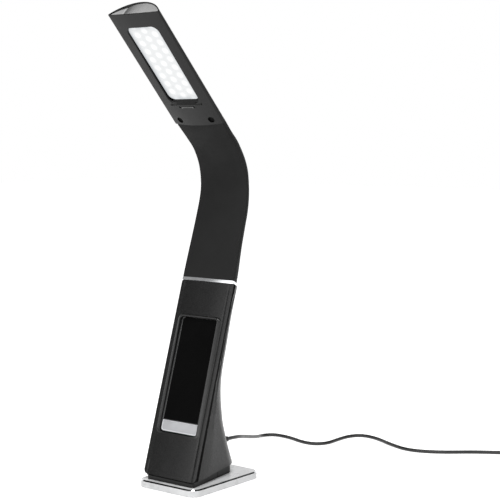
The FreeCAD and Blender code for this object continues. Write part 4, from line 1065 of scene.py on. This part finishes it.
for run, after in zip(stops, stops[1:]):
    new = neck_shape(after)
    if after < 0.5 * MM:
        new = (new[0] * 0.995, new[1] * 0.99, new[2] * 0.99)
    known = set(bm.faces)
    growth = [ahead / behind for ahead, behind in zip(new, old)]
    ring = sweep_on(bm, ring, sleeve_place(run), sleeve_place(after), *growth)
    number = sum(1 for cut in CUTS[1:-1] if (run + after) / 2 > cut)
    for face in bm.faces:
        if face not in known:
            face[length_mark] = number
    old = new
bmesh.ops.recalc_face_normals(bm, faces=bm.faces)
probe = max(bm.verts, key=lambda v: v.co.x)
if probe.normal.x < 0:
    bmesh.ops.reverse_faces(bm, faces=bm.faces)
print("sleeve:", len(bm.faces), "faces in", len(stops), "rings")

# %% [markdown]
# ### Ribs and lengths
#
# Five ribs keep the real sleeve's shape. They are copies of the CAD's ribs, moved with the sleeve's
# line and made a little smaller to stay inside it. Then the sleeve is cut by the number that each
# face was given in the sweep, and a Solidify modifier gives each length its wall.

# %% Ribs inside the sleeve
RIB_SHARE = (0.965, 0.96, 1)
for number in range(1, PIVOTS):
    rib = merged_copy("neck_former_%d" % number)
    place = sleeve_place(CUTS[number])
    bmesh.ops.transform(rib, matrix=place @ neck_place(CUTS[number]).inverted(), verts=rib.verts)
    bmesh.ops.scale(rib, vec=RIB_SHARE, space=place.inverted(), verts=rib.verts)
    piece("sleeve_rib_%d" % number, rib, FRAME_PLASTIC, "neck_%d" % number, ["neck_former_%d" % number])

# %% Cut the sleeve into lengths
BLEND_REACH = 9 * MM        # on each side of a pivot, for two points that are worked out but not used
PIVOT_DEEP = 5.5 * MM       # how far behind the widest line the pivots lie
for number in range(PIVOTS):
    part = bm.copy()
    mark = part.faces.layers.int["length_number"]
    bmesh.ops.delete(part, geom=[f for f in part.faces if f[mark] != number], context="FACES")
    sleeve = piece("neck_sleeve_%d" % (number + 1), part, NECK_RUBBER, body=None, weighted=False,
                   limit=180, stands_for=["neck_sleeve"])
    wall = sleeve.modifiers.new("wall", "SOLIDIFY")
    wall.thickness, wall.offset, wall.use_rim = SLEEVE_WALL, -1, True
    apply_modifiers(sleeve)
    middle = neck_place(PIVOT_RUNS[number])
    low, high = [middle @ Vector((0, PIVOT_DEEP, side * BLEND_REACH)) for side in (-1, 1)]
    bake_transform(sleeve)
bm.free()

# %% [markdown]
# ## The head
#
# Two covers make the head: a flatter one below with the light's window, and a domed one above. Their
# CAD meshes already have the right form, so copies are merged and shaded smooth. The lower cover
# also slopes down to the light at the window's near end. A cutter made of four outlines takes out
# the room for that slope with a Boolean, and a thin ramp then lies in it.

# %% Head covers
RAMP_HALF, RAMP_END = 18.15, 60     # the cutter's half width and upper end, in millimetres
# The cutter's outlines as (low end, lower corner radius, depth), in millimetres too.
CUTTER_SECTION = [(24.2, 8.0, -6), (24.4, 8.0, -4.2), (28.0, 6.5, -0.4), (28.0, 6.5, 3)]
bm = bmesh.new()
layered(bm, [(RAMP_HALF, low * MM, RAMP_END * MM, (corner * MM, 6.5 * MM), depth)
             for low, corner, depth in CUTTER_SECTION])
bmesh.ops.transform(bm, matrix=HEAD, verts=bm.verts)
cutter_mesh = bpy.data.meshes.new("ramp_cutter")
bm.to_mesh(cutter_mesh)
bm.free()
cutter = linked("ramp_cutter", cutter_mesh)
lower = piece("head_lower_shell", merged_copy("head_front_cover"), HEAD_PLASTIC, "head",
              ["head_front_cover"])
cut = lower.modifiers.new("ramp", "BOOLEAN")
cut.object, cut.operation, cut.solver = cutter, "DIFFERENCE", "EXACT"
lower.modifiers.move(1, 0)
apply_modifiers(lower)
bpy.data.objects.remove(cutter)
print("lower shell:", len(lower.data.polygons), "faces")
piece("head_upper_shell", merged_copy("head_rear_cover"), HEAD_PLASTIC, "head", ["head_rear_cover"])
piece("tip_cap", merged_copy("end_cap"), HEAD_PLASTIC, "head", ["end_cap"])

# %% Ramp and slot highlight strip
RAMP = (36.2 * MM, 5.4 * MM, 1.0 * MM)      # width, length and thickness
RAMP_SLOPE = math.atan2(3.6, 3.8)
bm = bmesh.new()
bmesh.ops.create_cube(bm, size=1)
bmesh.ops.scale(bm, vec=RAMP, verts=bm.verts)
bmesh.ops.translate(bm, vec=(0, 0, -0.55 * MM), verts=bm.verts)
bmesh.ops.rotate(bm, matrix=Matrix.Rotation(RAMP_SLOPE, 3, "X"), verts=bm.verts)
bmesh.ops.translate(bm, vec=(0, -2.3 * MM, 26.2 * MM), verts=bm.verts)
bmesh.ops.transform(bm, matrix=HEAD, verts=bm.verts)
piece("window_ramp", bm, HEAD_PLASTIC, "head")

# Painted highlight: a light grey strip fills the slot and stands in for the light caught by its lip.
# Half width, low and high end, corner radius and depth, all in millimetres.
SLOT_SECTION = [(7.0, 20.15, 21.85, 0.6, 1.0), (7.0, 20.15, 21.85, 0.6, -3.9),
                (6.8, 20.3, 21.7, 0.5, -4.1)]
bm = bmesh.new()
layered(bm, [(half, low * MM, high * MM, (corner * MM, corner * MM), depth)
             for half, low, high, corner, depth in SLOT_SECTION])
bmesh.ops.transform(bm, matrix=HEAD, verts=bm.verts)
piece("slot_window", bm, SLOT_HIGHLIGHT_GREY, "head")

# %% [markdown]
# ### The folded insert
#
# The cap at the head's tip holds a polished metal insert with a shallow fold left of its middle, from
# which one side rises in a straight line and the other in a curve. The insert is thin, so its copy is
# cut across in strips and only its upper points are lowered, by less than its thickness.

# %% Tip insert
FOLD = -14.0                # the fold's place across the head, in millimetres
FOLD_DEPTH = 0.85 * MM
LEFT_RUN, RIGHT_RUN = 20, 41        # how far each side takes to rise, in millimetres
bm = merged_copy("end_cap_insert")
bmesh.ops.transform(bm, matrix=HEAD.inverted(), verts=bm.verts)
cut_at(bm, [x * MM for x in (FOLD, -12, -10, -8, -6, -3, 0, 4, 8, 12, 16, 20, 24)], 0)
top = max(v.co.z for v in bm.verts)
for vert in bm.verts:
    if vert.co.z > top - 0.4 * MM:
        if vert.co.x > FOLD * MM - 0.01 * MM:
            share = min(1, (vert.co.x / MM - FOLD) / RIGHT_RUN)
            vert.co.z -= FOLD_DEPTH * (1 - share) ** 3
        else:
            share = min(1, (FOLD - vert.co.x / MM) / LEFT_RUN)
            vert.co.z -= FOLD_DEPTH * (1 - share)
bmesh.ops.transform(bm, matrix=HEAD, verts=bm.verts)
piece("tip_insert", bm, INSERT_METAL, "head", ["end_cap_insert"], limit=12)

# %% [markdown]
# ## The light
#
# The LEDs shine through a milky diffuser. Each one makes a bright round spot, in three staggered
# columns. Twenty-five small lamps would be slow and noisy, so the diffuser glows by itself. The
# spots are worked out from the Object coordinates, turned into the head's own frame by a Mapping
# node: the distance to the nearest LED of the middle column or of the side columns.

# %% Diffuser material
LIGHT_WIDTH, LIGHT_CORNER = 36 * MM, 6.5 * MM
LIGHT_LOW, LIGHT_HIGH = 28.2 * MM, 112.4 * MM
LIGHT_MIDDLE = (LIGHT_LOW + LIGHT_HIGH) / 2
LED_PITCH, LED_COLUMN = 9.3 * MM, 10.2 * MM


def lit_diffuser():
    """Milky plastic with a bright spot over each LED, dimmer towards the rim of the window."""
    material, tree, shader = finish("lit_diffuser", Roughness=0.4, Emission_Strength=1.0,
                                    Specular_IOR_Level=0.2)
    shader.inputs["Base Color"].default_value = (0.2, 0.2, 0.2, 1)
    place = add(tree, "ShaderNodeTexCoord").outputs["Object"]
    centred = add(tree, "ShaderNodeVectorMath", [(0, place)], operation="SUBTRACT")
    centred.inputs[1].default_value = HEAD @ Vector((0, 0, LIGHT_MIDDLE))
    turned = add(tree, "ShaderNodeMapping", [("Vector", centred.outputs[0])])
    turned.inputs["Rotation"].default_value = (-math.radians(HEAD_LEAN), 0, 0)
    parts = add(tree, "ShaderNodeSeparateXYZ", [(0, turned.outputs[0])])
    side = maths(tree, "ABSOLUTE", parts.outputs["X"])
    spots = []
    for column, shift in ((0, 0), (LED_COLUMN, LED_PITCH / 2)):
        across = maths(tree, "SUBTRACT", side, column)
        down = maths(tree, "ADD", parts.outputs["Z"], shift + LED_PITCH / 2)
        off = maths(tree, "SUBTRACT", maths(tree, "WRAP", down, LED_PITCH, 0), LED_PITCH / 2)
        both = add(tree, "ShaderNodeCombineXYZ", [("X", across), ("Y", off)])
        far = add(tree, "ShaderNodeVectorMath", [(0, both.outputs[0])], operation="LENGTH")
        spots.append(smooth_range(tree, far.outputs["Value"], 1.2 * MM, 4.6 * MM, 1.0, 0.0))
    nearest = maths(tree, "MAXIMUM", *spots)
    glow = colours(tree, nearest, (0.66, 0.672, 0.678), (0.86, 0.865, 0.87), 0, 1)
    # The light falls off towards the rim of the window.
    ends = maths(tree, "ABSOLUTE", parts.outputs["Z"])
    near_side = between(tree, side, 0.0, 1.0, 13.5 * MM, 17.5 * MM)
    near_end = between(tree, ends, 0.0, 1.0, 36.5 * MM, 41.5 * MM)
    rim = maths(tree, "MAXIMUM", near_side, near_end)
    dim = colours(tree, rim, grey(1.0), (0.68, 0.7, 0.72), 0, 1)
    shaded = add(tree, "ShaderNodeMix", data_type="RGBA", blend_type="MULTIPLY")
    shaded.inputs["Factor"].default_value = 1.0
    tree.links.new(glow, shaded.inputs["A"])
    tree.links.new(dim, shaded.inputs["B"])
    tree.links.new(shaded.outputs["Result"], shader.inputs["Emission Color"])
    return material


# %% Diffuser
LIT_DIFFUSER = lit_diffuser()
bm = bmesh.new()
face = rounded_face(bm, LIGHT_WIDTH, LIGHT_LOW, LIGHT_HIGH, (LIGHT_CORNER, LIGHT_CORNER), 10)
bmesh.ops.translate(bm, vec=(0, -0.4 * MM, 0), verts=bm.verts)
pushed = bmesh.ops.extrude_face_region(bm, geom=[face], use_keep_orig=True)["geom"]
bmesh.ops.translate(bm, vec=(0, 1.6 * MM, 0), verts=verts_in(pushed))
bmesh.ops.recalc_face_normals(bm, faces=bm.faces)
foremost = min(bm.faces, key=lambda one: one.calc_center_median().y)
soften(bm, list(foremost.edges), 0.3 * MM, 3)
bmesh.ops.transform(bm, matrix=HEAD, verts=bm.verts)
piece("milky_diffuser", bm, LIT_DIFFUSER, "head", ["light_diffuser"])

# %% [markdown]
# ## The lead's strain relief, the keys and the plug
#
# The relief keeps the lead from kinking where it leaves the column, and the three round keys stand in
# the leather above it. All of them are round, so each is half a section, drawn as a few points and
# spun round a line. The relief's grooves let it flex, and each key's top is slightly hollow for the
# fingertip. The plug's grip, shell and tongue stay as the CAD made them.

# %% Spun parts
def spun(name, profile, middle, material, body="root", stands_for=(), count=40, limit=30):
    """A profile of (y, radius) points spun round a line along Y through a middle (x, z)."""
    bm = bmesh.new()
    verts = [bm.verts.new((0, y * MM, radius * MM)) for y, radius in profile]
    edges = [bm.edges.new(pair) for pair in zip(verts, verts[1:])]
    bmesh.ops.spin(bm, geom=verts + edges, cent=(0, 0, 0), axis=(0, 1, 0), dvec=(0, 0, 0),
                   angle=2 * math.pi, space=Matrix.Identity(4), steps=count, use_merge=True,
                   use_normal_flip=False, use_duplicate=False)
    bmesh.ops.remove_doubles(bm, verts=bm.verts, dist=0.001 * MM)
    bmesh.ops.recalc_face_normals(bm, faces=bm.faces)
    bmesh.ops.translate(bm, vec=(middle[0] * MM, 0, middle[1] * MM), verts=bm.verts)
    return piece(name, bm, material, body, stands_for, limit)


# %% Strain relief
RELIEF_LENGTH, RELIEF_THICK, RELIEF_THIN = 15, 3.4, 2.5     # how far it reaches out, and its radii
RIBS, RIB_PITCH = 6, 2.2
low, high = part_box("lead_connector")
inner, outer = low.y / MM, high.y / MM
wall_back = outer - RELIEF_LENGTH
profile = [(inner, 0), (inner, 2.3), (inner + 0.4, 2.7), (inner + 8, 2.7), (inner + 8, RELIEF_THICK),
           (wall_back - 0.2, RELIEF_THICK)]
for number in range(RIBS):
    start = wall_back + 0.6 + number * RIB_PITCH
    radius = RELIEF_THICK - 0.9 * (start - wall_back) / RELIEF_LENGTH
    profile += [(start, radius), (start + 1.3, radius - 0.08), (start + 1.45, radius - 0.4),
                (start + 2.05, radius - 0.45)]
profile += [(outer - 0.9, RELIEF_THIN + 0.1), (outer - 0.2, RELIEF_THIN), (outer, 2.3), (outer, 1.8)]
spun("strain_relief", profile, (0, WAY_OUT[2]), LEAD_RUBBER, stands_for=["lead_connector"])

# %% Keys
for label in ("down_key", "up_key", "mode_key"):
    low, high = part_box(label)
    inner, outer, middle = low.y / MM, high.y / MM, (low.z + high.z) / 2 / MM
    flange = [(inner, 0), (inner, 4.0), (inner + 0.15, 4.2), (inner + 0.85, 4.2), (inner + 1, 4.0)]
    stem = [(inner + 1, 3.0), (outer - 0.7, 3.0), (outer - 0.42, 2.94), (outer - 0.18, 2.75),
            (outer - 0.04, 2.45), (outer, 2.1)]
    hollow = [(outer - 0.06, 1.6), (outer - 0.22, 0.8), (outer - 0.26, 0)]
    spun(label + "_cap", flange + stem + hollow, (0, middle), KEY_PLASTIC, label, [label])

# %% [markdown]
# ## Light, floor and background
#
# The lamp stands on a white floor in a white studio. Three soft lamps and an even world light it at
# a plain level. The Light Path node tells rays apart: the camera sees plain white, and so does glass
# that is looked through. Matt surfaces get an even, weaker light.
#
# Black leather, plastic and polished metal show mostly what they mirror, so shiny surfaces see a
# studio with some form to it: white walls with a dim doorway in front on the left, a bright pane in
# front, a dark curtain on the right, and a dark ceiling with one skylight. Each wall's brightness is
# worked out from the compass direction of the ray, which is a plain Math node chain.

# %% World
CEILING_STARTS, CEILING_DARK = 0.42, 0.62       # the direction's height, from 0 level to 1 upright
SKYLIGHT = (-0.7137, 0.0545, 0.6986)            # the way up to the skylight
EVEN_LIGHT = 0.48
world = bpy.data.worlds.new("studio")
bpy.context.scene.world = world
world.use_nodes = True
tree = world.node_tree
tree.nodes.clear()
ray = add(tree, "ShaderNodeLightPath")
direction = add(tree, "ShaderNodeTexCoord").outputs["Generated"]
parts = add(tree, "ShaderNodeSeparateXYZ", [(0, direction)])
azimuth = maths(tree, "ARCTAN2", parts.outputs["Y"], parts.outputs["X"])


def wall_band(centre, full, gone, level):
    """A wall's brightness: a level near a compass direction, and 1 away from it. Angles in degrees."""
    off = maths(tree, "ABSOLUTE", maths(tree, "SUBTRACT", azimuth, math.radians(centre)))
    return smooth_range(tree, off, math.radians(full), math.radians(gone), level, 1.0)


doorway = wall_band(-145, 13, 24, 0.3)
bright_pane = wall_band(-92, 30, 40, 2.5)
curtain = wall_band(44, 16, 30, 0.1)
ceiling = smooth_range(tree, parts.outputs["Z"], CEILING_STARTS, CEILING_DARK, 1.0, 0.02)
up_there = add(tree, "ShaderNodeVectorMath", [(0, direction)], operation="DOT_PRODUCT")
up_there.inputs[1].default_value = SKYLIGHT
skylight = smooth_range(tree, up_there.outputs["Value"], math.cos(math.radians(8)),
                        math.cos(math.radians(1)), 0.0, 1.0)
above = maths(tree, "MAXIMUM", ceiling, skylight)
walls = maths(tree, "MULTIPLY", maths(tree, "MULTIPLY", doorway, bright_pane), curtain)
studio = maths(tree, "MULTIPLY", walls, above)
plain = add(tree, "ShaderNodeBackground", Color=(1, 1, 1, 1), Strength=EVEN_LIGHT)
seen = add(tree, "ShaderNodeBackground", Color=(1, 1, 1, 1), Strength=1.0)
mirrored = add(tree, "ShaderNodeBackground", [("Strength", studio)], Color=(1, 1, 1, 1))
glossy = add(tree, "ShaderNodeMixShader", [(0, ray.outputs["Is Glossy Ray"]), (1, plain.outputs[0]),
                                           (2, mirrored.outputs[0])])
clear = maths(tree, "MAXIMUM", ray.outputs["Is Camera Ray"], ray.outputs["Is Transmission Ray"])
world_mix = add(tree, "ShaderNodeMixShader", [(0, clear), (1, glossy.outputs[0]), (2, seen.outputs[0])])
add(tree, "ShaderNodeOutputWorld", [("Surface", world_mix.outputs[0])])

# %% [markdown]
# ### The floor
#
# The floor is pale paint that also glows for the camera and for mirror-like rays, so that it looks
# white without more light on the lamp, and still takes its shadow.

# %% Floor
FLOOR_GLOW = 0.72
bm = bmesh.new()
bmesh.ops.create_grid(bm, x_segments=1, y_segments=1, size=6)
floor_material, tree, shader = finish("floor_white", Roughness=0.9, Specular_IOR_Level=0.0)
shader.inputs["Base Color"].default_value = (0.8, 0.8, 0.8, 1)
shader.inputs["Emission Color"].default_value = (1, 1, 1, 1)
ray = add(tree, "ShaderNodeLightPath")
direct = maths(tree, "MAXIMUM", ray.outputs["Is Camera Ray"], ray.outputs["Is Glossy Ray"])
either = maths(tree, "MAXIMUM", direct, ray.outputs["Is Transmission Ray"])
glow = maths(tree, "MULTIPLY", either, FLOOR_GLOW)
tree.links.new(glow, shader.inputs["Emission Strength"])
floor = piece("floor", bm, floor_material, body=None, weighted=False)


# %% Lamps
def soft_lamp(name, place, target, width, height, power):
    """An area lamp at a place, turned to face a target."""
    data = bpy.data.lights.new(name, "AREA")
    data.shape = "RECTANGLE"
    data.size, data.size_y, data.energy = width, height, power
    lamp = linked(name, data)
    lamp.location = place
    lamp.rotation_euler = (Vector(target) - Vector(place)).to_track_quat("-Z", "Y").to_euler()


soft_lamp("right_softbox", (1.25, -0.3, 0.95), (0, 0, 0.2), 0.8, 1.2, 4.5)
soft_lamp("top_softbox", (0.5, -0.7, 1.8), (0, 0, 0.02), 0.6, 0.6, 19)
soft_lamp("front_softbox", (-0.34, -1.58, 0.62), (0, 0, 0.2), 0.5, 1.4, 5.5)
